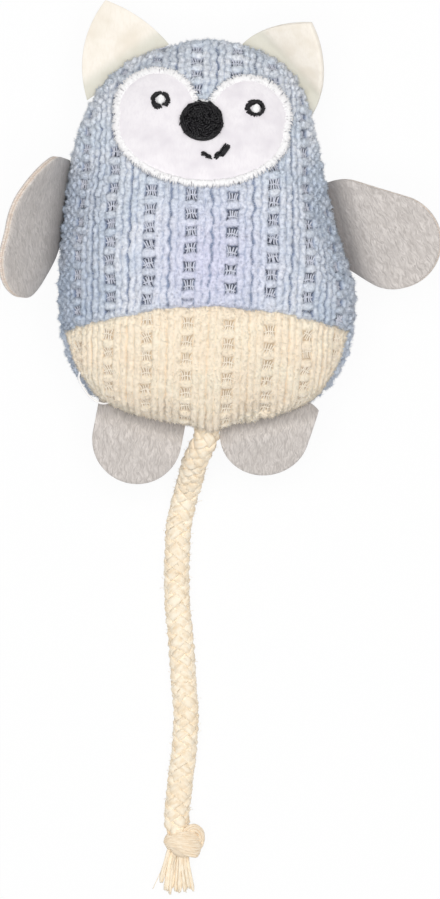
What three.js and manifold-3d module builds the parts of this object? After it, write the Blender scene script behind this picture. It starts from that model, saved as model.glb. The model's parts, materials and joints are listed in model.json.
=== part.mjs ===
// Stuffed catnip mouse, lying on its back with its face up.
// Millimetres. +Z is up, +Y runs from the tail to the head, +X is the viewer's right. The origin is on the
// surface that the toy lies on, under the fullest part of the body.

import * as THREE from "three";
import { mergeVertices } from "three/addons/utils/BufferGeometryUtils.js";
import Module from "manifold-3d";

const wasm = await Module();
wasm.setup();

// Clearances
const seamGap = 0.3; // between panels sewn edge to edge
const layGap = 0.3; // under a piece that lies on another
const rootGap = 0.6; // between a flap's sewn root and the body
const hingeOffset = 1.1; // from the round seam out to a flap's fold line

// Body: the round seam lies level, the front swells above it and the back below it
const hipLength = 43; // fullest station to the bottom seam
const headLength = 52.8; // fullest station to the crown
const widestAt = -9; // station of the widest section
const bodyHalfWidth = 37.4;
const crownShare = 0.7005; // of that half width, which the tapering sides aim at on the crown
const headLean = 2.7; // the head leans this far to the viewer's left
const frontHeight = 24;
const crownHeight = 18;
const backDepth = 20;
const crownDepth = 15;
const restFlat = 0.5; // depth of the flat that the back rests on
const knitThickness = 2.4;
const hipPower = 2.8; // how square the hips are in plan
const crownPower = 8; // how square the crown is in plan
const hipDome = 2.6; // how bluntly the swell ends at the hips
const crownDome = 3.4; // how bluntly the swell ends at the crown
const sectionPower = 2.2; // how square the sections are
const bellySeamTop = -14.4; // station where the arched belly seam is highest
const bellySeamDrop = 6.2; // how far the arch falls at the widest half width
const seamThreadRadius = 0.35;
const archThreadShare = 0.84; // of the half width that the belly seam's thread spans
const roundThreadStartAngle = -84; // the round seam's thread stops either side of the tail
const roundThreadEndAngle = 264;

// Pouch of catnip in the middle of the filling
const pouchHalfWidth = 14;
const pouchHalfLength = 18;
const pouchHalfHeight = 4.5;
const pouchSheet = 0.4;
const pouchRim = 2;
const pouchHem = 1.2; // width of rim that the two sheets share inside

// Face applique, laid out on a face plane that is tilted in plan
const faceX = -1.4;
const faceY = 29.8;
const faceTiltAngle = -4.8;
const cheekHalfWidth = 21.2;
const lobeRadius = 10.1; // round lobe that carries an eye
const lobeOverhang = 0.2; // a lobe stands this far out past the cheek
const lobeRise = 3.8;
const chinDrop = 14.3;
const browRise = 6.6;
const borderWidth = 1.5;
const fleeceThickness = 0.9;
const stitchThickness = 0.6;
const eyeOutset = 0.1; // an eye stands this far out from the middle of its lobe
const eyeMiddle = 1;
const eyeRise = 6;
const eyeRadius = 2.4;
const eyeHole = 1.35;
const noseHalfWidth = 5.3;
const noseHalfHeight = 4.8;
const noseRise = 1.4;
const mouthStitchRadius = 0.65;
const mouthLeft = [0.7, -6.8, 3, -7.5]; // from x, y to x, y on the face
const mouthRight = [4.2, -7, 6.9, -3.7];

// Ears of felt
const feltThickness = 1.4;
const earBase = 24;
const earReach = 14.8;
const earSkew = 5; // the point stands this far towards the crown
const earOuterBulge = 2.4;
const earInnerBulge = 1.3;
const earSeamDepth = 5; // felt that reaches under the seam before it is trimmed
const earSeamShare = 0.8; // of the base that it keeps there
const earLeftSeatAngle = 114; // round the body from +X
const earRightSeatAngle = 65;
const earLeftLiftAngle = 4;
const earRightLiftAngle = 46;

// Arms and legs of short plush, two layers back to back
const plushThickness = 1;
const pinchedThickness = 0.35; // a layer where the seam holds it
const pinchLength = 3;
const armTipRadius = 12;
const armShoulderRadius = 11;
const armSpan = 15; // shoulder centre to tip centre
const armRightSeatAngle = 9.5;
const armRightAimAngle = -16; // from +X in plan
const armRightTip = 12.2; // tip centre out from the fold line
const armRightSlide = -6; // tip centre along the seam
const armRightLiftAngle = 25;
const armRightDroop = 3;
const armLeftSeatAngle = 161;
const armLeftAimAngle = 238;
const armLeftTip = 13;
const armLeftSlide = 12.8;
const armLeftLiftAngle = 60;
const armLeftDroop = 1;
const legRadius = 11.2;
const legSpan = 16;
const legLeftSeatAngle = -114.4;
const legLeftAimAngle = -101;
const legLeftTip = 4.1;
const legLeftSlide = 2.7;
const legLeftLiftAngle = -2;
const legRightSeatAngle = -70.4;
const legRightAimAngle = -108;
const legRightTip = 2;
const legRightSlide = -1.2;
const legRightLiftAngle = -12;
const legDroop = 2.5;

// Tail of braided cotton rope
const ropeRadius = 3;
const tailSeatAngle = -90.3;
const ropeClearance = 0.3; // the rope lies this far above the surface
// Hand-set route: x and y from the fold point, and the share of the fall to the surface.
const tailRoute = [
  [0, 0, 0],
  [-1.8, -3.8, 0.22],
  [-3.2, -7.4, 0.5],
  [-4.2, -11.4, 0.79],
  [-5.7, -16.5, 0.96],
  [-6.9, -22.3, 1],
  [-7.3, -28.6, 1],
  [-7.5, -36.2, 1],
  [-7.1, -44.2, 1],
  [-6.3, -52.6, 1],
  [-5.7, -61.4, 1],
  [-5.1, -69.5, 1],
  [-5.4, -76.6, 1],
  [-6.1, -83.6, 1],
  [-7, -90.7, 1],
  [-7.4, -97.8, 1],
];
const knotOffset = [1.6, -3.4]; // from the rope's end
const knotHalfWidth = 4.6;
const knotHalfLength = 4.2;
const knotHalfHeight = 4;
const wrapRadius = 3.3;
const wrapThickness = 3.4;
const wrapTiltAngle = 80;
const wrapSquash = 0.72;
const fringeLength = 10.5;
const fringeStart = 2.6; // half width under the knot
const fringeEnd = 4.4; // half width at the frayed end
const fringeFlat = 1.8; // half height at the frayed end
const fringeLean = -1.6;
const fringeAside = 0.4;
const fringeTuck = 0.7; // share of the knot's half length where the yarns come out
const bundleCount = 7;
const bundleDepth = 0.1; // share of the half width

const tau = Math.PI * 2;
const radians = THREE.MathUtils.degToRad;
const mix = THREE.MathUtils.lerp;
const seamHeight = backDepth - restFlat;
const crownHalfWidth = crownShare * bodyHalfWidth;
const lobeSpread = cheekHalfWidth + lobeOverhang - lobeRadius; // middle of the face to the middle of a lobe
const eyeSpread = lobeSpread + eyeOutset;

function material(name, color, roughness = 0.95) {
  return new THREE.MeshStandardMaterial({ name, color, roughness, metalness: 0 });
}

const materials = {
  blueKnit: material("blue_chenille", "#c3c9db"),
  creamKnit: material("cream_chenille", "#f6e3cb"),
  felt: material("white_felt", "#f5ece0"),
  fleece: material("white_fleece", "#f0ebef"),
  whiteThread: material("white_thread", "#f4f1ee", 0.7),
  blackThread: material("black_thread", "#2c292e", 0.7),
  plush: material("grey_plush", "#cdc6c0"),
  rope: material("cotton_rope", "#f9e7cf", 0.9),
  filling: material("polyester_fill", "#f4f4f2"),
  pouch: material("pouch_tissue", "#e9e4d8", 0.9),
  catnip: material("dried_catnip", "#6d7444"),
};

function solidOf(geometry) {
  const plain = geometry.clone();
  plain.deleteAttribute("normal");
  plain.deleteAttribute("uv");
  const joined = mergeVertices(plain, 1e-5);
  const vertProperties = new Float32Array(joined.attributes.position.array);
  const triVerts = new Uint32Array(joined.index.array);
  return new wasm.Manifold(new wasm.Mesh({ numProp: 3, vertProperties, triVerts }));
}

function geometryOf(solid) {
  const cut = solid.getMesh();
  const geometry = new THREE.BufferGeometry();
  geometry.setAttribute("position", new THREE.BufferAttribute(new Float32Array(cut.vertProperties), 3));
  geometry.setIndex(new THREE.BufferAttribute(new Uint32Array(cut.triVerts), 1));
  geometry.computeVertexNormals();
  return geometry;
}

function addMesh(group, name, geometry, look) {
  const mesh = new THREE.Mesh(geometry, look);
  mesh.name = name;
  group.add(mesh);
  return mesh;
}

// Rings of points from pole to pole, skinned with triangles.
function loft(startPole, rings, endPole) {
  const count = rings[0].length;
  const points = [startPole, ...rings.flat(), endPole];
  const at = (ring, i) => 1 + ring * count + (i % count);
  const index = [];
  for (let i = 0; i < count; i += 1) {
    index.push(0, at(0, i), at(0, i + 1));
    index.push(at(rings.length - 1, i), points.length - 1, at(rings.length - 1, i + 1));
    for (let ring = 0; ring < rings.length - 1; ring += 1) {
      index.push(at(ring, i), at(ring + 1, i), at(ring + 1, i + 1));
      index.push(at(ring, i), at(ring + 1, i + 1), at(ring, i + 1));
    }
  }
  const geometry = new THREE.BufferGeometry().setFromPoints(points);
  geometry.setIndex(index);
  geometry.computeVertexNormals();
  return geometry;
}

// A flat pattern filled with rings about its middle; place gives the upper (+1) and lower (-1) surface.
function sheet(outline, ringCount, place) {
  const middle = new THREE.Vector2();
  outline.forEach((p) => middle.addScaledVector(p, 1 / outline.length));
  const ringOf = (share, side) =>
    outline.map((p) => place(mix(middle.x, p.x, share), mix(middle.y, p.y, share), side));
  const rings = [];
  for (let k = 1; k <= ringCount; k += 1) {
    rings.push(ringOf(k / ringCount, 1));
  }
  for (let k = ringCount; k >= 1; k -= 1) {
    rings.push(ringOf(k / ringCount, -1));
  }
  return loft(place(middle.x, middle.y, 1), rings, place(middle.x, middle.y, -1));
}

// A closed strip between two outlines of equal count.
function band(inner, outer, place) {
  const count = inner.length;
  const loops = [
    inner.map((p) => place(p.x, p.y, 1)),
    outer.map((p) => place(p.x, p.y, 1)),
    outer.map((p) => place(p.x, p.y, -1)),
    inner.map((p) => place(p.x, p.y, -1)),
  ];
  const at = (loop, i) => (loop % 4) * count + (i % count);
  const index = [];
  for (let loop = 0; loop < 4; loop += 1) {
    for (let i = 0; i < count; i += 1) {
      index.push(at(loop, i), at(loop + 1, i), at(loop + 1, i + 1));
      index.push(at(loop, i), at(loop + 1, i + 1), at(loop, i + 1));
    }
  }
  const geometry = new THREE.BufferGeometry().setFromPoints(loops.flat());
  geometry.setIndex(index);
  geometry.computeVertexNormals();
  return geometry;
}

// A tube along a curve, and closed at both ends.
function tube(points, radius, sides, steps) {
  const ring = new THREE.Shape();
  ring.absarc(0, 0, radius, 0, tau);
  const extrudePath = new THREE.CatmullRomCurve3(points);
  const curveSegments = sides / 2;
  return new THREE.ExtrudeGeometry(ring, { curveSegments, steps, extrudePath, bevelEnabled: false });
}

function slab(bottom, top) {
  const wide = 4 * (bodyHalfWidth + hipLength + headLength);
  return solidOf(new THREE.BoxGeometry(wide, wide, top - bottom).translate(0, 0, (top + bottom) / 2));
}

function signedPower(value, power) {
  return Math.sign(value) * Math.abs(value) ** power;
}

function share(value) {
  return THREE.MathUtils.clamp(value, 0, 1);
}

// Body sizes on a skin that lies a distance inside the knit's outer face.
function bodySizes(inset) {
  return {
    hip: hipLength - inset,
    head: headLength - inset,
    halfWidth: bodyHalfWidth - inset,
    crownHalfWidth: crownHalfWidth - inset,
    front: frontHeight - inset,
    crownFront: crownHeight - inset,
    back: backDepth - inset,
    crownBack: crownDepth - inset,
  };
}

// Pear-shaped plan and swelling heights of the body's section at a station.
function sectionAt(size, y) {
  const up = share((y - widestAt) / (size.head - widestAt));
  const down = share((widestAt - y) / (size.hip + widestAt));
  const headward = share(y / size.head);
  const hipward = share(-y / size.hip);
  const taper = mix(size.halfWidth, size.crownHalfWidth, up) * Math.sqrt(1 - up ** crownPower);
  const hips = (1 - down ** hipPower) ** (1 / hipPower);
  const swell = Math.sqrt(1 - headward ** crownDome) * (1 - hipward ** hipDome) ** (1 / hipDome);
  return {
    halfWidth: taper * hips,
    shift: -headLean * Math.sin(Math.PI * up),
    front: mix(size.front, size.crownFront, headward) * swell,
    back: mix(size.back, size.crownBack, headward) * swell,
  };
}

function bodyLoft(inset) {
  const size = bodySizes(inset);
  const sides = 32;
  const headStations = 10;
  const hipStations = 8;
  const stations = [];
  for (let i = hipStations - 1; i > 0; i -= 1) {
    stations.push(-size.hip * Math.sin((Math.PI / 2) * (i / hipStations)));
  }
  for (let i = 0; i < headStations; i += 1) {
    stations.push(size.head * Math.sin((Math.PI / 2) * (i / headStations)));
  }
  const rings = stations.map((y) => {
    const section = sectionAt(size, y);
    const ring = [];
    for (let i = 0; i < sides; i += 1) {
      const angle = (tau * i) / sides;
      const across = signedPower(Math.cos(angle), 2 / sectionPower);
      const rise = signedPower(Math.sin(angle), 2 / sectionPower);
      const height = rise > 0 ? section.front : section.back;
      const x = section.shift + section.halfWidth * across;
      ring.push(new THREE.Vector3(x, y, seamHeight + height * rise));
    }
    return ring;
  });
  const bottom = new THREE.Vector3(sectionAt(size, -size.hip).shift, -size.hip, seamHeight);
  const crown = new THREE.Vector3(sectionAt(size, size.head).shift, size.head, seamHeight);
  return loft(bottom, rings, crown);
}

// Point on the front skin above a plan position, and a short way off it along its normal.
function frontPoint(inset, x, y, lift = 0) {
  const size = bodySizes(inset);
  const heightAt = (px, py) => {
    const section = sectionAt(size, py);
    const across = share(Math.abs(px - section.shift) / section.halfWidth);
    return seamHeight + section.front * (1 - across ** sectionPower) ** (1 / sectionPower);
  };
  const step = 0.05;
  const slopeX = (heightAt(x + step, y) - heightAt(x - step, y)) / (2 * step);
  const slopeY = (heightAt(x, y + step) - heightAt(x, y - step)) / (2 * step);
  const normal = new THREE.Vector3(-slopeX, -slopeY, 1).normalize();
  return new THREE.Vector3(x, y, heightAt(x, y)).addScaledVector(normal, lift);
}

// Point of the round seam in a direction from the middle, found by halving.
function outlinePoint(inset, angle) {
  const size = bodySizes(inset);
  let near = 0;
  let far = size.hip + size.head;
  for (let i = 0; i < 40; i += 1) {
    const reach = (near + far) / 2;
    const x = reach * Math.cos(angle);
    const y = reach * Math.sin(angle);
    const section = sectionAt(size, y);
    const inside = y > -size.hip && y < size.head && Math.abs(x - section.shift) < section.halfWidth;
    near = inside ? reach : near;
    far = inside ? far : reach;
  }
  return new THREE.Vector2(near * Math.cos(angle), near * Math.sin(angle));
}

// Fold line of a piece caught in the round seam: where it is and which way is outward.
function seatOf(degrees, offset) {
  const angle = radians(degrees);
  const step = radians(0.5);
  const along = outlinePoint(0, angle + step).sub(outlinePoint(0, angle - step)).normalize();
  const outward = new THREE.Vector2(along.y, -along.x);
  const point = outlinePoint(0, angle).addScaledVector(outward, offset);
  return { point, heading: Math.atan2(outward.y, outward.x) };
}

function bellyRegion(grow) {
  const reach = 2 * bodyHalfWidth;
  const top = bellySeamTop + grow;
  const fall = bellySeamDrop * (reach / bodyHalfWidth) ** 2;
  const low = -hipLength - 4 * fall;
  const shape = new THREE.Shape();
  shape.moveTo(-reach, top - fall);
  shape.lineTo(-reach, low);
  shape.lineTo(reach, low);
  shape.lineTo(reach, top - fall);
  shape.quadraticCurveTo(0, top + fall, -reach, top - fall);
  const tall = 2 * (frontHeight + backDepth);
  return solidOf(new THREE.ExtrudeGeometry(shape, { depth: tall, curveSegments: 32, bevelEnabled: false }));
}

function addBody(group) {
  const above = slab(seamHeight - seamGap / 2, 4 * (frontHeight + backDepth));
  const below = slab(-4 * backDepth, seamHeight + seamGap / 2);
  const outer = solidOf(bodyLoft(0)).subtract(slab(-4 * backDepth, 0));
  const shell = outer.subtract(solidOf(bodyLoft(knitThickness)));
  const front = shell.subtract(below);
  addMesh(group, "front_panel", geometryOf(front.subtract(bellyRegion(seamGap / 2))), materials.blueKnit);
  addMesh(group, "belly_panel", geometryOf(front.intersect(bellyRegion(-seamGap / 2))), materials.creamKnit);
  addMesh(group, "back_panel", geometryOf(shell.subtract(above)), materials.blueKnit);

  const threadInset = knitThickness + layGap + seamThreadRadius;
  const round = [];
  for (let i = 0; i <= 44; i += 1) {
    const p = outlinePoint(threadInset, radians(mix(roundThreadStartAngle, roundThreadEndAngle, i / 44)));
    round.push(new THREE.Vector3(p.x, p.y, seamHeight));
  }
  addMesh(group, "round_seam_thread", tube(round, seamThreadRadius, 6, 60), materials.whiteThread);
  const arch = [];
  for (let i = 0; i <= 16; i += 1) {
    const x = mix(-archThreadShare, archThreadShare, i / 16) * bodyHalfWidth;
    arch.push(frontPoint(threadInset, x, bellySeamTop - bellySeamDrop * (x / bodyHalfWidth) ** 2));
  }
  addMesh(group, "belly_seam_thread", tube(arch, seamThreadRadius, 6, 28), materials.whiteThread);

  const core = solidOf(bodyLoft(threadInset + seamThreadRadius + layGap));
  const roomy = pouchRim + 2 * layGap;
  const hollow = pillow(pouchHalfWidth + roomy, pouchHalfLength + roomy, pouchHalfHeight + 2 * layGap);
  const stuffed = core.subtract(hollow);
  addMesh(group, "filling_front", geometryOf(stuffed.subtract(below)), materials.filling);
  addMesh(group, "filling_back", geometryOf(stuffed.subtract(above)), materials.filling);
  addPouch(group, above, below);
}

function roundedPlan(halfWidth, halfLength, count) {
  const points = [];
  for (let i = 0; i < count; i += 1) {
    const angle = (tau * i) / count;
    const x = halfWidth * signedPower(Math.cos(angle), 0.5);
    points.push(new THREE.Vector2(x, halfLength * signedPower(Math.sin(angle), 0.5)));
  }
  return points;
}

// Pillow with a rounded oblong plan and oval sections, on the level of the round seam.
function pillow(halfWidth, halfLength, halfHeight) {
  const stations = [-0.96, -0.82, -0.58, -0.3, 0, 0.3, 0.58, 0.82, 0.96];
  const rings = stations.map((along) => {
    const across = halfWidth * (1 - along ** 4) ** 0.25;
    const rise = halfHeight * Math.sqrt(1 - along ** 2);
    const ring = [];
    for (let i = 0; i < 20; i += 1) {
      const angle = (tau * i) / 20;
      const x = across * Math.cos(angle);
      ring.push(new THREE.Vector3(x, halfLength * along, seamHeight + rise * Math.sin(angle)));
    }
    return ring;
  });
  const start = new THREE.Vector3(0, -halfLength, seamHeight);
  return solidOf(loft(start, rings, new THREE.Vector3(0, halfLength, seamHeight)));
}

function addPouch(group, above, below) {
  const skin = pillow(pouchHalfWidth, pouchHalfLength, pouchHalfHeight).subtract(
    pillow(pouchHalfWidth - pouchSheet, pouchHalfLength - pouchSheet, pouchHalfHeight - pouchSheet),
  );
  const rim = new THREE.Shape(roundedPlan(pouchHalfWidth + pouchRim, pouchHalfLength + pouchRim, 28));
  rim.holes.push(new THREE.Path(roundedPlan(pouchHalfWidth - pouchHem, pouchHalfLength - pouchHem, 28)));
  const flange = new THREE.ExtrudeGeometry(rim, { depth: pouchSheet, bevelEnabled: false });
  const high = solidOf(flange.clone().translate(0, 0, seamHeight + seamGap / 2));
  const low = solidOf(flange.clone().translate(0, 0, seamHeight - seamGap / 2 - pouchSheet));
  addMesh(group, "pouch_front", geometryOf(skin.subtract(below).add(high)), materials.pouch);
  addMesh(group, "pouch_back", geometryOf(skin.subtract(above).add(low)), materials.pouch);
  const spare = pouchHem + layGap;
  const heapHalfHeight = pouchHalfHeight - pouchSheet - layGap;
  const heap = pillow(pouchHalfWidth - spare, pouchHalfLength - spare, heapHalfHeight);
  addMesh(group, "catnip", geometryOf(heap), materials.catnip);
}

// Outline of the face: the outermost of two round eye lobes and the cheeks, less a margin.
function maskOutline(margin, count) {
  const points = [];
  for (let i = 0; i < count; i += 1) {
    const angle = (tau * (i + 0.5)) / count;
    const x = Math.cos(angle);
    const y = Math.sin(angle);
    let reach = 1 / Math.hypot(x / cheekHalfWidth, y / (y > 0 ? browRise : chinDrop));
    [-lobeSpread, lobeSpread].forEach((spread) => {
      const towards = x * spread + y * lobeRise;
      const left = towards ** 2 - spread ** 2 - lobeRise ** 2 + lobeRadius ** 2;
      if (left > 0) {
        reach = Math.max(reach, towards + Math.sqrt(left));
      }
    });
    points.push(new THREE.Vector2((reach - margin) * x, (reach - margin) * y));
  }
  return points;
}

function ovalOutline(x, y, halfWidth, halfHeight, count) {
  const points = [];
  for (let i = 0; i < count; i += 1) {
    const angle = (tau * i) / count;
    points.push(new THREE.Vector2(x + halfWidth * Math.cos(angle), y + halfHeight * Math.sin(angle)));
  }
  return points;
}

// Straight-sided pattern round two discs: each direction takes the disc that reaches further that way.
function discsOutline(start, startRadius, end, endRadius, count) {
  const axis = end.clone().sub(start);
  const turn = Math.acos(THREE.MathUtils.clamp((startRadius - endRadius) / axis.length(), -1, 1));
  const aim = Math.atan2(axis.y, axis.x);
  const points = [];
  for (let i = 0; i < count; i += 1) {
    const angle = -Math.PI + (tau * (i + 0.5)) / count;
    const [disc, radius] = Math.abs(angle) < turn ? [end, endRadius] : [start, startRadius];
    const x = disc.x + radius * Math.cos(aim + angle);
    points.push(new THREE.Vector2(x, disc.y + radius * Math.sin(aim + angle)));
  }
  return points;
}

function addFace(group) {
  const turn = radians(faceTiltAngle);
  const laidOn = (bottom, thickness) => (x, y, side) => {
    const worldX = faceX + x * Math.cos(turn) - y * Math.sin(turn);
    const worldY = faceY + x * Math.sin(turn) + y * Math.cos(turn);
    return frontPoint(0, worldX, worldY, bottom + (side > 0 ? thickness : 0));
  };
  const fleece = laidOn(layGap, fleeceThickness);
  const stitch = laidOn(layGap * 2 + fleeceThickness, stitchThickness);
  const patch = maskOutline(borderWidth + layGap, 52);
  addMesh(group, "face_patch", sheet(patch, 5, fleece), materials.fleece);
  const border = band(maskOutline(borderWidth, 52), maskOutline(0, 52), fleece);
  addMesh(group, "face_border", border, materials.whiteThread);
  [["left", eyeMiddle - eyeSpread], ["right", eyeMiddle + eyeSpread]].forEach(([name, x]) => {
    const hole = ovalOutline(x, eyeRise, eyeHole, eyeHole, 20);
    const rim = ovalOutline(x, eyeRise, eyeRadius, eyeRadius, 20);
    addMesh(group, `eye_${name}_ring`, band(hole, rim, stitch), materials.blackThread);
    const dot = ovalOutline(x, eyeRise, eyeHole - layGap, eyeHole - layGap, 12);
    addMesh(group, `eye_${name}_dot`, sheet(dot, 1, stitch), materials.whiteThread);
  });
  const nose = ovalOutline(0, noseRise, noseHalfWidth, noseHalfHeight, 24);
  addMesh(group, "nose", sheet(nose, 2, stitch), materials.blackThread);
  [["mouth_left", mouthLeft], ["mouth_right", mouthRight]].forEach(([name, [x0, y0, x1, y1]]) => {
    const from = new THREE.Vector2(x0, y0);
    const to = new THREE.Vector2(x1, y1);
    const line = discsOutline(from, mouthStitchRadius, to, mouthStitchRadius, 16);
    addMesh(group, name, sheet(line, 1, stitch), materials.blackThread);
  });
}

// Group on a fold line: x outward, y along the seam, turned up by the lift.
function foldGroup(name, seat, lift) {
  const group = new THREE.Group();
  group.name = name;
  group.position.set(seat.point.x, seat.point.y, seamHeight);
  group.rotation.set(0, -radians(lift), seat.heading, "ZYX");
  group.updateMatrix();
  return group;
}

// The part of a flap that stands clear of the body when the flap lies level, as its root then comes closest.
function clearOfBody(geometry, seat) {
  const level = foldGroup("level", seat, 0);
  const body = bodyLoft(-rootGap).applyMatrix4(level.matrix.invert());
  return geometryOf(solidOf(geometry).subtract(solidOf(body)));
}

function thicknessFrom(x, full) {
  return mix(pinchedThickness, full, THREE.MathUtils.smoothstep(x, 0, pinchLength));
}

function addLimb(group, name, seat, lift, outline, droop) {
  const fold = foldGroup(`${name}_fold`, seat, lift);
  const reach = Math.max(...outline.map((p) => p.x));
  [["front", 1], ["back", -1]].forEach(([layer, facing]) => {
    const place = (x, y, side) => {
      const sag = -droop * share(x / reach) ** 2;
      const outer = side === facing ? thicknessFrom(x, plushThickness) : 0;
      return new THREE.Vector3(x, y, sag + facing * (layGap / 2 + outer));
    };
    const cut = clearOfBody(sheet(outline, 3, place), seat);
    addMesh(fold, `${name}_${layer}`, cut, materials.plush);
  });
  group.add(fold);
}

// Paddle in a fold's frame: tip centre where asked, the other end back along the aim.
function paddle(seat, aim, tip, slide, span, tipRadius, backRadius) {
  const angle = radians(aim) - seat.heading;
  const end = new THREE.Vector2(tip, slide);
  const start = new THREE.Vector2(tip - span * Math.cos(angle), slide - span * Math.sin(angle));
  return discsOutline(start, backRadius, end, tipRadius, 28);
}

function addLimbs(group) {
  const arm = (name, seat, lift, aim, tip, slide, droop) => {
    const outline = paddle(seat, aim, tip, slide, armSpan, armTipRadius, armShoulderRadius);
    addLimb(group, name, seat, lift, outline, droop);
  };
  const armLeftSeat = seatOf(armLeftSeatAngle, hingeOffset);
  const armLeftPlace = [armLeftTip, armLeftSlide];
  arm("arm_left", armLeftSeat, armLeftLiftAngle, armLeftAimAngle, ...armLeftPlace, armLeftDroop);
  const armRightSeat = seatOf(armRightSeatAngle, hingeOffset);
  const armRightPlace = [armRightTip, armRightSlide];
  arm("arm_right", armRightSeat, armRightLiftAngle, armRightAimAngle, ...armRightPlace, armRightDroop);
  const leg = (name, seat, lift, aim, tip, slide) => {
    const outline = paddle(seat, aim, tip, slide, legSpan, legRadius, legRadius);
    addLimb(group, name, seat, lift, outline, legDroop);
  };
  const legLeftSeat = seatOf(legLeftSeatAngle, hingeOffset);
  leg("leg_left", legLeftSeat, legLeftLiftAngle, legLeftAimAngle, legLeftTip, legLeftSlide);
  const legRightSeat = seatOf(legRightSeatAngle, hingeOffset);
  leg("leg_right", legRightSeat, legRightLiftAngle, legRightAimAngle, legRightTip, legRightSlide);
}

function addEar(group, name, degrees, lift, crownward) {
  const seat = seatOf(degrees, hingeOffset);
  const fold = foldGroup(`${name}_fold`, seat, lift);
  const half = earBase / 2;
  const curve = (from, to, bulge) => {
    const across = to.clone().sub(from);
    const out = new THREE.Vector2(across.y, -across.x).normalize();
    const control = from.clone().lerp(to, 0.5).addScaledVector(out, 2 * bulge);
    return new THREE.QuadraticBezierCurve(from, control, to).getPoints(8);
  };
  const low = new THREE.Vector2(-hingeOffset, -half);
  const high = new THREE.Vector2(-hingeOffset, half);
  const tip = new THREE.Vector2(earReach, crownward * earSkew);
  const lowBulge = crownward > 0 ? earOuterBulge : earInnerBulge;
  const highBulge = crownward > 0 ? earInnerBulge : earOuterBulge;
  const outline = [...curve(low, tip, lowBulge), ...curve(tip, high, highBulge).slice(1)];
  outline.push(new THREE.Vector2(-earSeamDepth, half * earSeamShare));
  outline.push(new THREE.Vector2(-earSeamDepth, -half * earSeamShare));
  const place = (x, y, side) => new THREE.Vector3(x, y, side * thicknessFrom(x, feltThickness / 2));
  addMesh(fold, name, clearOfBody(sheet(outline, 3, place), seat), materials.felt);
  group.add(fold);
}

function addTail(group) {
  const seat = seatOf(tailSeatAngle, ropeRadius + layGap);
  const fold = new THREE.Group();
  fold.name = "tail_fold";
  fold.position.set(seat.point.x, seat.point.y, seamHeight);
  const lying = ropeRadius + ropeClearance - seamHeight;
  const route = tailRoute.map(([x, y, fall]) => new THREE.Vector3(x, y, lying * fall));
  const end = route[route.length - 1];
  const knotAt = new THREE.Vector3(end.x + knotOffset[0], end.y + knotOffset[1], 0);
  knotAt.z = knotHalfHeight + ropeClearance - seamHeight;
  const knotWith = (grow) => {
    const core = new THREE.SphereGeometry(1, 16, 10);
    core.scale(knotHalfWidth + grow, knotHalfLength + grow, knotHalfHeight + grow);
    const wrap = new THREE.TorusGeometry(wrapRadius, wrapThickness / 2 + grow, 8, 18);
    wrap.rotateX(radians(wrapTiltAngle)).scale(1, 1, wrapSquash);
    return solidOf(core.translate(...knotAt)).add(solidOf(wrap.translate(...knotAt)));
  };
  const root = solidOf(new THREE.SphereGeometry(ropeRadius, 12, 8));
  const rope = solidOf(tube(route, ropeRadius, 10, 40)).add(root).subtract(knotWith(layGap));
  addMesh(fold, "tail_rope", geometryOf(rope), materials.rope);
  addMesh(fold, "tail_knot", geometryOf(knotWith(0)), materials.rope);

  // The yarns spread and flatten towards the frayed end; lobes round the section stand for the bundles.
  const rings = [0, 0.25, 0.5, 0.75, 1].map((along) => {
    const ring = [];
    for (let i = 0; i < 28; i += 1) {
      const angle = (tau * i) / 28;
      const lobed = 1 + bundleDepth * along * Math.cos(bundleCount * angle);
      const x = mix(fringeStart, fringeEnd, along) * lobed * Math.cos(angle);
      const height = mix(fringeStart, fringeFlat, along);
      const z = height * lobed * Math.sin(angle);
      const level = (1 + bundleDepth) * height + ropeClearance - seamHeight;
      const back = knotAt.y - fringeLength * along - knotHalfLength * fringeTuck;
      ring.push(new THREE.Vector3(end.x + fringeLean * along + fringeAside + x, back, level + z));
    }
    return ring.reverse();
  });
  const middleOf = (ring) => {
    const middle = new THREE.Vector3();
    ring.forEach((p) => middle.addScaledVector(p, 1 / ring.length));
    return middle;
  };
  const fringe = solidOf(loft(middleOf(rings[0]), rings, middleOf(rings[4]))).subtract(knotWith(layGap));
  addMesh(fold, "tail_fringe", geometryOf(fringe), materials.rope);
  group.add(fold);
}

const toy = new THREE.Group();
toy.name = "catnip_mouse";
addBody(toy);
addFace(toy);
addEar(toy, "ear_left", earLeftSeatAngle, earLeftLiftAngle, -1);
addEar(toy, "ear_right", earRightSeatAngle, earRightLiftAngle, 1);
addLimbs(toy);
addTail(toy);

export default toy;
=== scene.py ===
import json
import math

import bpy
import numpy as np
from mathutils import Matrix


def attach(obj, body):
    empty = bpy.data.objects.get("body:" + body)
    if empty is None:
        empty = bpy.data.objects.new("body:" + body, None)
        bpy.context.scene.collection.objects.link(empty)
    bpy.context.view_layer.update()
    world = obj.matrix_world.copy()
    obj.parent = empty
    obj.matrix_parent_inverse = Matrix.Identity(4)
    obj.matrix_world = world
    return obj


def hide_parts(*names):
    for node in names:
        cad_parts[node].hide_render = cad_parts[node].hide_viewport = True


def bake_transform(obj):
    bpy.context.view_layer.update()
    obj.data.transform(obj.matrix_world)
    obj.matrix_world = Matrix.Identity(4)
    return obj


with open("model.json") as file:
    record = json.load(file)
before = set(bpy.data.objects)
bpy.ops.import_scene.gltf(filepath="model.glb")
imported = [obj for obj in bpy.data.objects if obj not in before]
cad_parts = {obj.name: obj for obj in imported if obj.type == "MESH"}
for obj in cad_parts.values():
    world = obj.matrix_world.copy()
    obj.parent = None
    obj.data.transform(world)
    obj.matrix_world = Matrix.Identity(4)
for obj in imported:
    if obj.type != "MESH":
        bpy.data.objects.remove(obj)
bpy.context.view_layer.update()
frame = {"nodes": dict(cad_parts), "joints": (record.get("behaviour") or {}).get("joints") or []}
mm = 0.001
tau = 2 * math.pi
joints = {joint["name"]: joint for joint in frame["joints"]}
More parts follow.
